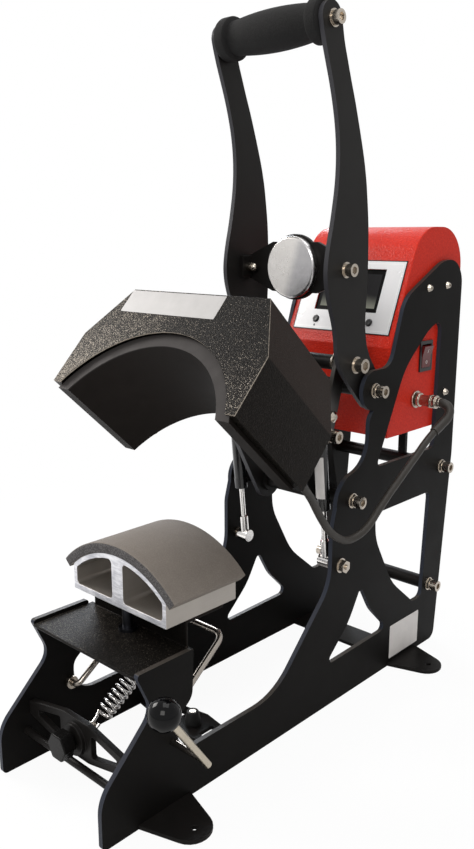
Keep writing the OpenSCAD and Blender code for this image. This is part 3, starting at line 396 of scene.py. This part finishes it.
def addFloor():
    bpy.ops.mesh.primitive_plane_add(size=studio["floorSize"], location=(0, 0, studio["floorLevel"]))
    floor = bpy.context.object
    floor.name = "studioFloor"
    f = Finish("pale floor")
    f.set(color=studio["floorTone"], rough=0.9)
    ray = f.tree.nodes.new("ShaderNodeLightPath")
    seen = Wire(f.tree, ray.outputs["Is Camera Ray"])
    away = f.node("ShaderNodeVectorMath", {"operation": "LENGTH"}, {0: f.place}, "Value").ramp(*studio["fade"])
    share = seen * (studio["near"] + away * (1 - studio["near"]))  # how much plain white the camera sees
    glow = makeNode(f.tree, "ShaderNodeEmission", {}, {"Color": (1, 1, 1, 1), "Strength": 1.0})
    blend = makeNode(f.tree, "ShaderNodeMixShader", {}, {0: share, 1: Wire(f.tree, f.shader.outputs[0]), 2: glow})
    f.tree.links.new(blend.socket, f.tree.nodes["Material Output"].inputs[0])
    floor.data.materials.append(f.material)


def addLamp(name, place, size, power, tone):
    bpy.ops.object.light_add(type="AREA", location=place)
    lamp = bpy.context.object
    lamp.name = name
    lamp.data.energy, lamp.data.size, lamp.data.color = power, size, tone
    lamp.rotation_euler = (Vector(studio["target"]) - Vector(place)).to_track_quat("-Z", "Y").to_euler()


def addSurround():
    world = bpy.data.worlds.new("studio")
    bpy.context.scene.world = world
    world.use_nodes = True
    tree = world.node_tree
    back = tree.nodes["Background"]
    ray = tree.nodes.new("ShaderNodeLightPath")
    seen = Wire(tree, ray.outputs["Is Camera Ray"])
    mirrored = Wire(tree, ray.outputs["Is Glossy Ray"]) * (studio["mirrored"] - studio["surround"])
    tree.links.new((studio["surround"] + mirrored + seen * (1 - studio["surround"])).socket, back.inputs["Strength"])
    back.inputs["Color"].default_value = (1, 1, 1, 1)


addFloor()
for lamp in lamps:
    addLamp(*lamp)
addSurround()
bpy.context.scene.view_settings.view_transform = "Standard"
print("studio set")


# modelling helpers
def pick(piece):
    bpy.ops.object.select_all(action="DESELECT")
    piece.select_set(True)
    bpy.context.view_layer.objects.active = piece


def openMesh(piece, action="SELECT"):
    pick(piece)
    bpy.ops.object.mode_set(mode="EDIT")
    bpy.ops.mesh.select_all(action=action)


def closeMesh():
    bpy.ops.object.mode_set(mode="OBJECT")


def modify(piece, kind, **settings):
    pick(piece)
    modifier = piece.modifiers.new(kind.lower(), kind)
    for key, value in settings.items():
        setattr(modifier, key, value)
    bpy.ops.object.modifier_apply(modifier=modifier.name)


def rounded(piece, width, segments=2, sharp=30):
    modify(piece, "BEVEL", width=width, segments=segments, limit_method="ANGLE", angle_limit=math.radians(sharp))


def settle(piece, name, smooth=35):
    pick(piece)
    bpy.ops.object.transform_apply(location=True, rotation=True, scale=True)
    piece.name = piece.data.name = name
    bpy.ops.object.shade_smooth_by_angle(angle=math.radians(smooth))


def thicken(shift):  # the open sheet pushed out by shift, with its faces turned outward
    bpy.ops.mesh.extrude_region_move(TRANSFORM_OT_translate={"value": shift})
    bpy.ops.mesh.select_all(action="SELECT")
    bpy.ops.mesh.normals_make_consistent(inside=False)
    closeMesh()


def newCurve(name):
    curve = bpy.data.curves.new(name, "CURVE")
    curve.dimensions = "3D"
    return curve


def straightLine(curve, points):
    spline = curve.splines.new("POLY")
    spline.points.add(len(points) - 1)
    for knot, point in zip(spline.points, points):
        knot.co = (*point, 1)
    return spline


def asMesh(name, curve):
    piece = bpy.data.objects.new(name, curve)
    bpy.context.collection.objects.link(piece)
    pick(piece)
    bpy.ops.object.convert(target="MESH")
    return bpy.context.object


def outline(name, points):  # a closed line through points, as a mesh
    curve = newCurve(name)
    straightLine(curve, points).use_cyclic_u = True
    return asMesh(name, curve)


def tubeThrough(name, points, radius, smooth, ring=6):  # a tube along points, as a mesh
    curve = newCurve(name)
    curve.bevel_depth, curve.bevel_resolution, curve.use_fill_caps = radius, ring, True
    if smooth:
        spline = curve.splines.new("BEZIER")
        spline.bezier_points.add(len(points) - 1)
        for knot, point in zip(spline.bezier_points, points):
            knot.co = point
            knot.handle_left_type = knot.handle_right_type = "AUTO"
        spline.resolution_u = 12
    else:
        straightLine(curve, points)
    piece = asMesh(name, curve)
    bpy.ops.object.shade_smooth_by_angle(angle=math.radians(50))
    return piece


def turned3d(name, profile, centre, axis, steps, sweep=360):  # profile as (along, out), spun round the axis
    across = {"X": (0, 0, 1), "Y": (0, 0, 1), "Z": (1, 0, 0)}[axis]
    along = {"X": (1, 0, 0), "Y": (0, 1, 0), "Z": (0, 0, 1)}[axis]
    points = [Vector(along) * a + Vector(across) * r for a, r in profile]
    piece = outline(name, points)
    openMesh(piece)
    if sweep < 360:
        bpy.ops.mesh.edge_face_add()
        bpy.ops.transform.rotate(value=math.radians(-sweep / 2), orient_axis=axis, orient_type="GLOBAL",
                                 center_override=(0, 0, 0))
    bpy.ops.mesh.spin(steps=steps, angle=math.radians(sweep), center=(0, 0, 0), axis=along)
    bpy.ops.mesh.select_all(action="SELECT")
    bpy.ops.mesh.remove_doubles(threshold=1e-6)
    bpy.ops.mesh.normals_make_consistent(inside=False)
    closeMesh()
    piece.location = centre
    return piece


def roundCorner(centre, radius, start, end, count=5):
    angles = [math.radians(start + (end - start) * i / count) for i in range(count + 1)]
    return [(centre[0] + radius * math.cos(a), centre[1] + radius * math.sin(a)) for a in angles]


def blankPlate(name, width, height, corner, thick):  # a thin plate in x and z, facing -y
    bpy.ops.mesh.primitive_plane_add(size=1, rotation=(math.pi / 2, 0, 0))
    piece = bpy.context.object
    piece.scale = (width, height, 1)
    bpy.ops.object.transform_apply(location=True, rotation=True, scale=True)
    openMesh(piece)
    bpy.ops.mesh.bevel(offset=corner, segments=4, affect="VERTICES")
    bpy.ops.mesh.select_all(action="SELECT")
    thicken((0, -thick, 0))
    rounded(piece, thick * 0.3, 1)
    piece.name = name
    return piece


bodyOf = {node: body for body, names in frame["record"]["behaviour"]["bodies"].items() for node in names}


def wear(piece, finish, body, *replaced, slot=None):
    piece.data.materials.clear()
    piece.data.materials.append(finish)
    if body:
        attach(piece, body)
    if replaced:
        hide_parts(*replaced)


def softened(name, width, segments=2):  # a copy of a node with its edges broken
    piece = bpy.data.objects.new(name + "Soft", nodes[name].data.copy())
    bpy.context.collection.objects.link(piece)
    openMesh(piece)
    bpy.ops.mesh.remove_doubles(threshold=2e-6)
    bpy.ops.mesh.dissolve_limited(angle_limit=math.radians(0.5))
    closeMesh()
    rounded(piece, width, segments)
    settle(piece, name + "Soft", 40)
    modify(piece, "WEIGHTED_NORMAL", keep_sharp=True)
    wear(piece, nodes[name].data.materials[0], bodyOf[name], name)


# heater cable, from the plug round outside the right plate to the head
cable = {"diameter": 0.008, "sleeve": 0.0104, "sleeveKnots": 6, "sleeveEdge": 0.0006, "points": [
    (0.102, 0.204, 0.316), (0.110, 0.204, 0.3155), (0.117, 0.2035, 0.311), (0.119, 0.199, 0.3035),
    (0.117, 0.190, 0.296), (0.1148, 0.1775, 0.2885), (0.113, 0.1646, 0.2795), (0.1115, 0.150, 0.268),
    (0.110, 0.135, 0.2564), (0.1085, 0.1205, 0.245), (0.107, 0.1063, 0.2339), (0.1055, 0.090, 0.2201),
    (0.1035, 0.0694, 0.2030), (0.100, 0.056, 0.1962), (0.098, 0.043, 0.1955), (0.097, 0.030, 0.201),
    (0.096, 0.016, 0.212), (0.096, 0.004, 0.226), (0.096, -0.006, 0.240), (0.097, -0.015, 0.252),
    (0.100, -0.0389, 0.2759), (0.100, -0.0513, 0.2876)]}
cableTube = tubeThrough("heaterCable", cable["points"], cable["diameter"] / 2, True)
wear(cableTube, cableRubber, None, "heater_cable", slot="black_rubber")
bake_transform(cableTube)
sleevePiece = tubeThrough("cableSleeve", cable["points"][:cable["sleeveKnots"]], cable["sleeve"] / 2, True)
rounded(sleevePiece, cable["sleeveEdge"], 2, 50)
settle(sleevePiece, "cableSleeve", 50)
wear(sleevePiece, cableRubber, "frame", slot="black_rubber")

# plates, sheet metal and fittings with their edges broken, by the width of the edge
brokenEdges = {0.0007: ["left_side_frame", "right_side_frame", "left_head_arm", "right_head_arm", "front_feet",
                        "rear_foot_plate", "middle_cross_plate", "front_cross_plate", "handle_cross_plate",
                        "left_link", "right_link"],
               0.0016: ["heater_cover"],
               0.0009: ["platen_tray", "heater_block", "lower_platen"],
               0.0006: ["control_box_ends", "control_box_shell", "switch_frame", "power_inlet", "fuse_holder",
                        "steel_disc", "lever_rod", "heater_plug", "heater_socket"],
               0.0004: ["frame_fasteners", "handle_bolts", "head_bolts", "bail_collars", "gas_low_studs",
                        "left_gas_tube", "right_gas_tube", "left_gas_rod", "right_gas_rod"]}
for width, names in brokenEdges.items():
    for name in names:
        softened(name, width)

# the bright bolts on the links, parted from the painted bars
linkFace = 0.0523


def partBolts(name, bolts):
    piece = bpy.data.objects[name + "Soft"]
    pick(piece)
    bpy.context.tool_settings.mesh_select_mode = (False, False, True)
    openMesh(piece, "DESELECT")
    closeMesh()
    for face in piece.data.polygons:
        face.select = abs(face.center.x) > linkFace
    bpy.ops.object.mode_set(mode="EDIT")
    bpy.ops.mesh.separate(type="SELECTED")
    closeMesh()
    bpy.context.tool_settings.mesh_select_mode = (True, False, False)
    parted = next(o for o in bpy.context.selected_objects if o != piece)
    parted.name = parted.data.name = bolts
    parted.data.materials.clear()
    parted.data.materials.append(zinc)


partBolts("left_link", "leftLinkBolts")
partBolts("right_link", "rightLinkBolts")
print("edges broken")

# handle arms, with the long curve of their edges drawn smooth; outline and holes as y and z in millimetres
perMetre = 1000
handleArm = {"inside": 0.065, "thick": 0.005, "edge": 0.0007, "drill": 0.03,
             "front": [(27, 671), (32.9, 655), (39.1, 638.5), (44.5, 621.7), (48.9, 604.4), (51.6, 588), (52.8, 572),
                       (52.6, 556), (51.2, 541), (48.4, 524), (45, 507), (41, 490.5), (38.4, 476.4), (37.3, 463.4),
                       (38.7, 450.2), (42.5, 436.8), (47.5, 423.1), (52, 411.4), (55.2, 397.4), (57, 384),
                       (59.8, 372.5), (66.5, 361.5), (78, 349), (90.5, 336)],
             "end": ((117.2, 336.5), 19, 222, 388, 9),
             "back": [(125.2, 359.8), (115.8, 371.8), (108.2, 386.5), (104.5, 403.5), (104, 420), (105, 438.5),
                      (105.5, 461.5), (105.2, 484.3), (104, 506.8), (102.2, 523.2), (100.2, 537), (97.7, 552),
                      (93.1, 570.8), (87.3, 589.1), (81.1, 607), (74.7, 624.5), (67.8, 641.5), (61.4, 658.3),
                      (55.4, 674.7)],
             "top": ((36.2, 691.5), 14.8, 18, 198, 8),
             "holes": [(114, 338.4, 16.1), (38, 691, 8.4), (67, 465, 8.4), (89.5, 367.5, 10.4)]}


def smoothLoop(points, count=4):  # a closed curve through all the points
    loop = []
    for i in range(len(points)):
        a, b, c, d = (Vector(points[(i + step) % len(points)]) for step in (-1, 0, 1, 2))
        for t in (j / count for j in range(count)):
            bend = (2 * a - 5 * b + 4 * c - d) * t ** 2 + (3 * b - a - 3 * c + d) * t ** 3
            loop.append((2 * b + (c - a) * t + bend) / 2)
    return loop


def addHandleArms():
    d = handleArm
    edge = smoothLoop(d["front"] + roundCorner(*d["end"]) + d["back"] + roundCorner(*d["top"]))
    for name, node, side in (("leftHandleArm", "left_handle_arm", -1), ("rightHandleArm", "right_handle_arm", 1)):
        piece = outline(name, [(d["inside"] * side, y / perMetre, z / perMetre) for y, z in edge])
        openMesh(piece)
        bpy.ops.mesh.edge_face_add()
        thicken((d["thick"] * side, 0, 0))
        for y, z, size in d["holes"]:
            bpy.ops.mesh.primitive_cylinder_add(vertices=48, radius=size / 2 / perMetre, depth=d["drill"],
                                                rotation=(0, math.pi / 2, 0),
                                                location=(d["inside"] * side, y / perMetre, z / perMetre))
            drill = bpy.context.object
            modify(piece, "BOOLEAN", object=drill, operation="DIFFERENCE", solver="EXACT")
            bpy.data.objects.remove(drill)
        rounded(piece, d["edge"])
        settle(piece, name, 40)
        modify(piece, "WEIGHTED_NORMAL", keep_sharp=True)
        wear(piece, armCoat, "handle", node)


addHandleArms()

# domed nuts on the inner ends of the handle's plate bolts
domeNut = {"end": 0.054, "place": (0.067, 0.465), "radius": 0.0046, "dome": 0.94, "skirt": 0.0014, "tall": 0.0060,
           "sunk": 0.0005}


def addDomeNuts():
    d = domeNut
    rise = d["tall"] - d["skirt"]
    turns = [math.radians(a) for a in range(0, 91, 10)]
    dome = [(d["skirt"] + rise * math.sin(a), d["radius"] * d["dome"] * math.cos(a)) for a in turns]
    profile = [(-d["sunk"], 0.0), (-d["sunk"], d["radius"]), (d["skirt"], d["radius"])] + dome
    for name, side in (("leftDomeNut", -1), ("rightDomeNut", 1)):
        piece = turned3d(name, [(-a * side, r) for a, r in profile], (d["end"] * side, *d["place"]), "X", 40)
        settle(piece, name, 40)
        wear(piece, zinc, "handle", slot="bright_steel")


addDomeNuts()

# foam grip, full at its two ends and crowned between them
grip = {"centre": (0, 0.038, 0.691), "half": 0.0647, "bore": 0.0091, "end": 0.021, "round": 0.003, "ring": 0.0120,
        "lip": 0.002, "step": (0.0152, 0.0043), "crown": 0.018, "drop": 0.0012, "sag": 0.0032, "parts": 12}


def gripProfile():
    g, half, end, r, lip = grip, grip["half"], grip["end"], grip["round"], grip["lip"]
    side = [(half, g["bore"])] + roundCorner((half - r, end - r), r, 0, 90) + \
        roundCorner((half - g["ring"], end - lip), lip, 90, 165, 4) + [(half - g["step"][0], end - g["step"][1])]
    shares = [i / g["parts"] for i in range(g["parts"] - 1, -g["parts"], -1)]
    crown = [(share * (half - g["crown"]), end - g["drop"] - g["sag"] * share ** 2) for share in shares]
    return side + crown + [(-a, r) for a, r in reversed(side)]


gripPiece = turned3d("gripSleeve", gripProfile(), grip["centre"], "X", 72)
settle(gripPiece, "gripSleeve", 60)
wear(gripPiece, gripFoam, "handle", "foam_grip", slot="black_foam")

# foam pad bent over the platen
pad = {"centre": (0, 0, 0.115), "inside": 0.1001, "outside": 0.11, "front": -0.177, "rear": -0.087, "sweep": 90.8,
       "round": 0.0016, "edge": 0.0009}


def padProfile():
    front, rear, low, high, r = pad["front"], pad["rear"], pad["inside"], pad["outside"], pad["round"]
    return [(rear, low), (rear, high - r)] + roundCorner((rear - r, high - r), r, 0, 90)[1:] + \
        roundCorner((front + r, high - r), r, 90, 180) + [(front, low)]


padPiece = turned3d("platenPad", padProfile(), pad["centre"], "Y", 60, pad["sweep"])
rounded(padPiece, pad["edge"], 2, 60)
settle(padPiece, "platenPad", 50)
wear(padPiece, padFoam, "frame", "platen_pad", slot="pad_foam")

# rubber bumper with its screw well
bumper = {"centre": (0, -0.083, 0.004), "height": 0.0144, "foot": 0.0085, "top": 0.0065, "well": 0.00375,
          "bore": 0.0022, "skirt": (0.004, 0.0001), "round": 0.002, "deep": 0.003}


def bumperProfile():
    b, h, r = bumper, bumper["height"], bumper["round"]
    return [(0, b["bore"]), (0, b["foot"]), (b["skirt"][0], b["foot"] - b["skirt"][1])] + \
        roundCorner((h - r, b["top"] - r), r, 90, 0) + \
        [(h, b["well"]), (h - b["deep"], b["well"]), (h - b["deep"], b["bore"])]


bumperPiece = turned3d("bumper", bumperProfile(), bumper["centre"], "Z", 48)
settle(bumperPiece, "bumper", 50)
wear(bumperPiece, blackRubber, "frame", "rubber_bumper", slot="black_rubber")

# rubber grommet where the cable enters the cover, drawn shut and swung open with the head
grommet = {"shut": (0.100, -0.058, 0.182), "bore": 0.0042, "neck": 0.0068, "rim": 0.009, "out": 0.003, "in": 0.0035,
           "round": 0.0014}
headPivot = (0.079, 0.225)


def swungOpen(piece, shut, pivot=headPivot):
    y, z = shut[1] - pivot[0], shut[2] - pivot[1]
    c, d = math.cos(-headOpen), math.sin(-headOpen)
    piece.rotation_euler = (-headOpen, 0, 0)
    piece.location = (shut[0], pivot[0] + y * c - z * d, pivot[1] + y * d + z * c)


def grommetProfile():
    g, r = grommet, grommet["round"]
    return [(-g["in"], g["bore"]), (-g["in"], g["neck"]), (0, g["neck"]), (0, g["rim"])] + \
        roundCorner((g["out"] - r, g["rim"] - r), r, 90, 0) + [(g["out"], g["bore"])]


grommetPiece = turned3d("cableGrommet", grommetProfile(), (0, 0, 0), "Y", 40)
swungOpen(grommetPiece, grommet["shut"])
settle(grommetPiece, "cableGrommet", 50)
wear(grommetPiece, blackRubber, "head", "cable_grommet", slot="black_rubber")
print("foam and rubber made")

# hold-down wire, bent in one plane and turned up about its axis
barReach = 0.107
bail = {"pivot": (-0.182, 0.065), "angle": math.radians(36.5), "wire": 0.006,
        "bends": [(0.060, 0.0, 0.006), (0.057, barReach, 0.010), (-0.057, barReach, 0.010), (-0.060, 0.0, 0.006)],
        "ends": ((0.116, 0.0), (-0.086, 0.0))}


def bentPath(start, bends, end, count=8):  # straight runs joined by arcs; a bend is a corner and its radius
    stops = [Vector(start)] + [Vector(b[:2]) for b in bends] + [Vector(end)]
    path = [stops[0]]
    for before, here, after, bend in zip(stops, stops[1:], stops[2:], bends):
        radius = bend[2]
        one, two = (before - here).normalized(), (after - here).normalized()
        half = one.angle(two) / 2
        middle = here + (one + two).normalized() * (radius / math.sin(half))
        reach = radius / math.tan(half)
        first, last = here + one * reach - middle, here + two * reach - middle
        path += [middle + first.slerp(last, i / count).normalized() * radius for i in range(count + 1)]
    return path + [stops[-1]]


def onBail(u):  # y and z of a place u away from the wire's axis
    return bail["pivot"][0] + u * math.cos(bail["angle"]), bail["pivot"][1] + u * math.sin(bail["angle"])


wirePath = [(x, *onBail(u)) for x, u in bentPath(bail["ends"][0], bail["bends"], bail["ends"][1])]
wirePiece = tubeThrough("holdDownWire", wirePath, bail["wire"] / 2, False)
wear(wirePiece, wireSteel, "hold_down", "hold_down_wire", slot="bright_steel")

# tension spring, one wire through the eye, the curls and the hook
spring = {"eye": (-0.213, 0.056), "wire": 0.0028, "outside": 0.0175, "turns": 14, "start": 0.019, "free": 0.040,
          "hookGap": 0.0024, "hookEnd": 0.0023, "eyeRing": 0.0065, "eyeGap": 0.0007, "boltWire": 0.002,
          "lead": [(0.011, 0.0), (0.015, 0.001)], "rise": (0.006, 0.008), "straight": 0.016, "leg": 0.006, "parts": 24}


def springPath():  # first as (along, across, x) from the eye, then turned to lie along the spring's run
    d = spring
    run = Vector(onBail(barReach)) - Vector(d["eye"])
    length, ring, start, wire, parts = run.length, d["eyeRing"], d["start"], d["wire"], d["parts"]
    curl = (d["outside"] - wire) / 2
    both = (bail["wire"] + wire) / 2
    eye, hook = d["boltWire"] + wire / 2 + d["eyeGap"], both + d["hookGap"]
    tip = length + both + d["hookEnd"] - hook
    pitch = (length - d["free"] - start) / d["turns"]
    stop = start + pitch * d["turns"]
    halfTurn = [math.radians(a) for a in range(0, 181, 15)]
    path = [(ring + wire, eye, 0)]
    path += [(ring - eye * math.sin(a), eye * math.cos(a), 0) for a in halfTurn]
    path += [(t, -eye - out, 0) for t, out in d["lead"]]
    for i in range(parts * d["turns"] + 7):
        a = math.pi + 2 * math.pi / parts * i
        path.append((start + pitch * i / parts, curl * math.cos(a), curl * math.sin(a)))
    path += [(stop + d["rise"][0] + d["rise"][1] * t, 0, -curl + (curl - hook) * t) for t in (0.3, 0.7)]
    path += [(stop + d["straight"], 0, -hook), (tip - d["leg"], 0, -hook)]
    path += [(tip + hook * math.sin(a), 0, -hook * math.cos(a)) for a in halfTurn]
    path += [(tip - d["leg"], 0, hook), (tip - d["leg"] - wire, 0, hook)]
    along = run.normalized()
    return [(x, d["eye"][0] + t * along.x - c * along.y, d["eye"][1] + t * along.y + c * along.x) for t, x, c in path]


springPiece = tubeThrough("tensionSpring", springPath(), spring["wire"] / 2, False, 3)
wear(springPiece, chrome, "tension_spring", "tension_spring", slot="bright_steel")
print("wire and spring made")

# blank labels where the photo has a sticker on the cover, a plate on the frame and a sticker on the gas tube
coverLabel = {"shut": (-0.0258, -0.180, 0.2704), "plate": (0.1297, 0.0266, 0.0012, 0.00025)}


def addCoverLabel():
    piece = blankPlate("coverLabel", *coverLabel["plate"])
    swungOpen(piece, coverLabel["shut"])
    settle(piece, "coverLabel")
    wear(piece, shadedStickerWhite, "head", slot="overlay_film")


plateLabel = {"centre": (0.078, 0.19525, 0.02925), "plate": (0.0625, 0.0415, 0.001, 0.0003)}


def addPlateLabel():
    piece = blankPlate("plateLabel", *plateLabel["plate"])
    piece.rotation_euler = (0, 0, math.pi / 2)
    piece.location = plateLabel["centre"]
    settle(piece, "plateLabel")
    wear(piece, labelWhite, "frame", slot="overlay_film")


tubeLabel = {"low": (0.061, 0.1575), "high": (0.0440, 0.3118), "x": 0.059, "radius": 0.00718, "thick": 0.0003,
             "from": 0.074, "to": 0.120, "wide": 125, "turn": -95}


def addTubeLabel():
    low, high = Vector(tubeLabel["low"]), Vector(tubeLabel["high"])
    lean = math.atan2(high.x - low.x, high.y - low.y)
    out, a, b = tubeLabel["radius"], tubeLabel["from"], tubeLabel["to"]
    inner = out - tubeLabel["thick"]
    piece = turned3d("tubeLabel", [(a, inner), (b, inner), (b, out), (a, out)], (0, 0, 0), "Z", 24, tubeLabel["wide"])
    piece.rotation_euler = (0, 0, math.radians(tubeLabel["turn"]))
    settle(piece, "tubeLabel")
    piece.rotation_euler = (-lean, 0, 0)
    piece.location = (tubeLabel["x"], *tubeLabel["low"])
    settle(piece, "tubeLabel", 50)
    wear(piece, labelWhite, "right_gas_tube", slot="overlay_film")


addCoverLabel()
addPlateLabel()
addTubeLabel()
print("blank labels made")


# panel: button caps, arrows and the marks on the rocker
def onPanel(piece, x, up, out):
    c, d = math.cos(panel["tilt"]), math.sin(panel["tilt"])
    piece.rotation_euler = (math.pi / 2 - panel["tilt"], 0, 0)
    piece.location = (x, panel["front"] + up * d - out * c, panel["kink"] + up * c + out * d)


cap = {"radius": 0.004, "foot": -0.0075, "top": 0.0022, "edge": 0.0009, "dish": (0.0002, 0.45), "middle": 0.0004}


def addButtons():
    r, e, top = cap["radius"], cap["edge"], cap["top"]
    profile = [(cap["foot"], 0.0), (cap["foot"], r)] + roundCorner((top - e, r - e), e, 90, 15, 4) + \
        [(top - cap["dish"][0], r * cap["dish"][1]), (top - cap["middle"], 0.0)]
    for i, x in enumerate(panel["buttons"], 1):
        piece = turned3d(f"buttonCap{i}", profile, (0, 0, 0), "Z", 40)
        onPanel(piece, x, panel["buttonUp"], 0)
        settle(piece, f"buttonCap{i}", 50)
        wear(piece, blackPlastic, f"button_{i}", f"button_{i}", slot="black_plastic")


arrow = {"size": 0.0019, "drop": 0.0078, "thick": 0.00012, "out": 0.0006}


def addArrows():
    for name, x, turn in (("arrowUp", panel["buttons"][0], 0), ("arrowDown", panel["buttons"][1], 180)):
        bpy.ops.mesh.primitive_circle_add(vertices=3, radius=arrow["size"], fill_type="NGON",
                                          rotation=(0, 0, math.radians(turn)))
        piece = bpy.context.object
        bpy.ops.object.transform_apply(location=True, rotation=True, scale=True)
        openMesh(piece)
        thicken((0, 0, arrow["thick"]))
        onPanel(piece, x, panel["buttonUp"] - arrow["drop"], arrow["out"])
        settle(piece, name)
        wear(piece, markBlack, "frame", slot="black_plastic")


rocker = {"pivot": (0.071, 0.2215, 0.364), "tilt": math.radians(8), "waist": 0.0046, "end": 0.006, "half": 0.0124,
          "up": 0.0064, "thick": 0.00012, "edge": 0.0008, "bar": (0.0007, 0.0046, 0.0001), "ring": (0.0012, 0.0018)}


def addRocker():
    softened("rocker", rocker["edge"], 3)
    thick, (inner, outer) = rocker["thick"], rocker["ring"]
    slope = math.atan2(rocker["end"] - rocker["waist"], rocker["half"])
    out = rocker["waist"] + (rocker["end"] - rocker["waist"]) * rocker["up"] / rocker["half"]
    for name, side in (("markOn", 1), ("markOff", -1)):
        if side > 0:
            piece = blankPlate(name, *rocker["bar"], thick)
            piece.rotation_euler = (0, 0, math.pi / 2)
        else:
            piece = turned3d(name, [(0, inner), (0, outer), (thick, outer), (thick, inner)], (0, 0, 0), "X", 32)
        settle(piece, name)
        piece.rotation_euler = (0, slope * side, 0)
        piece.location = (out, 0, rocker["up"] * side)
        settle(piece, name)
        piece.rotation_euler = (0, rocker["tilt"], 0)
        piece.location = rocker["pivot"]
        settle(piece, name)
        wear(piece, markWhite, "rocker", slot="overlay_film")


addButtons()
addArrows()
addRocker()
print("panel details made")

# knob with its flats and rim rounded, and the lever's ball
softened("adjusting_knob", 0.0011, 3)
softened("lever_ball", 0.0004)
print("knob and ball made")
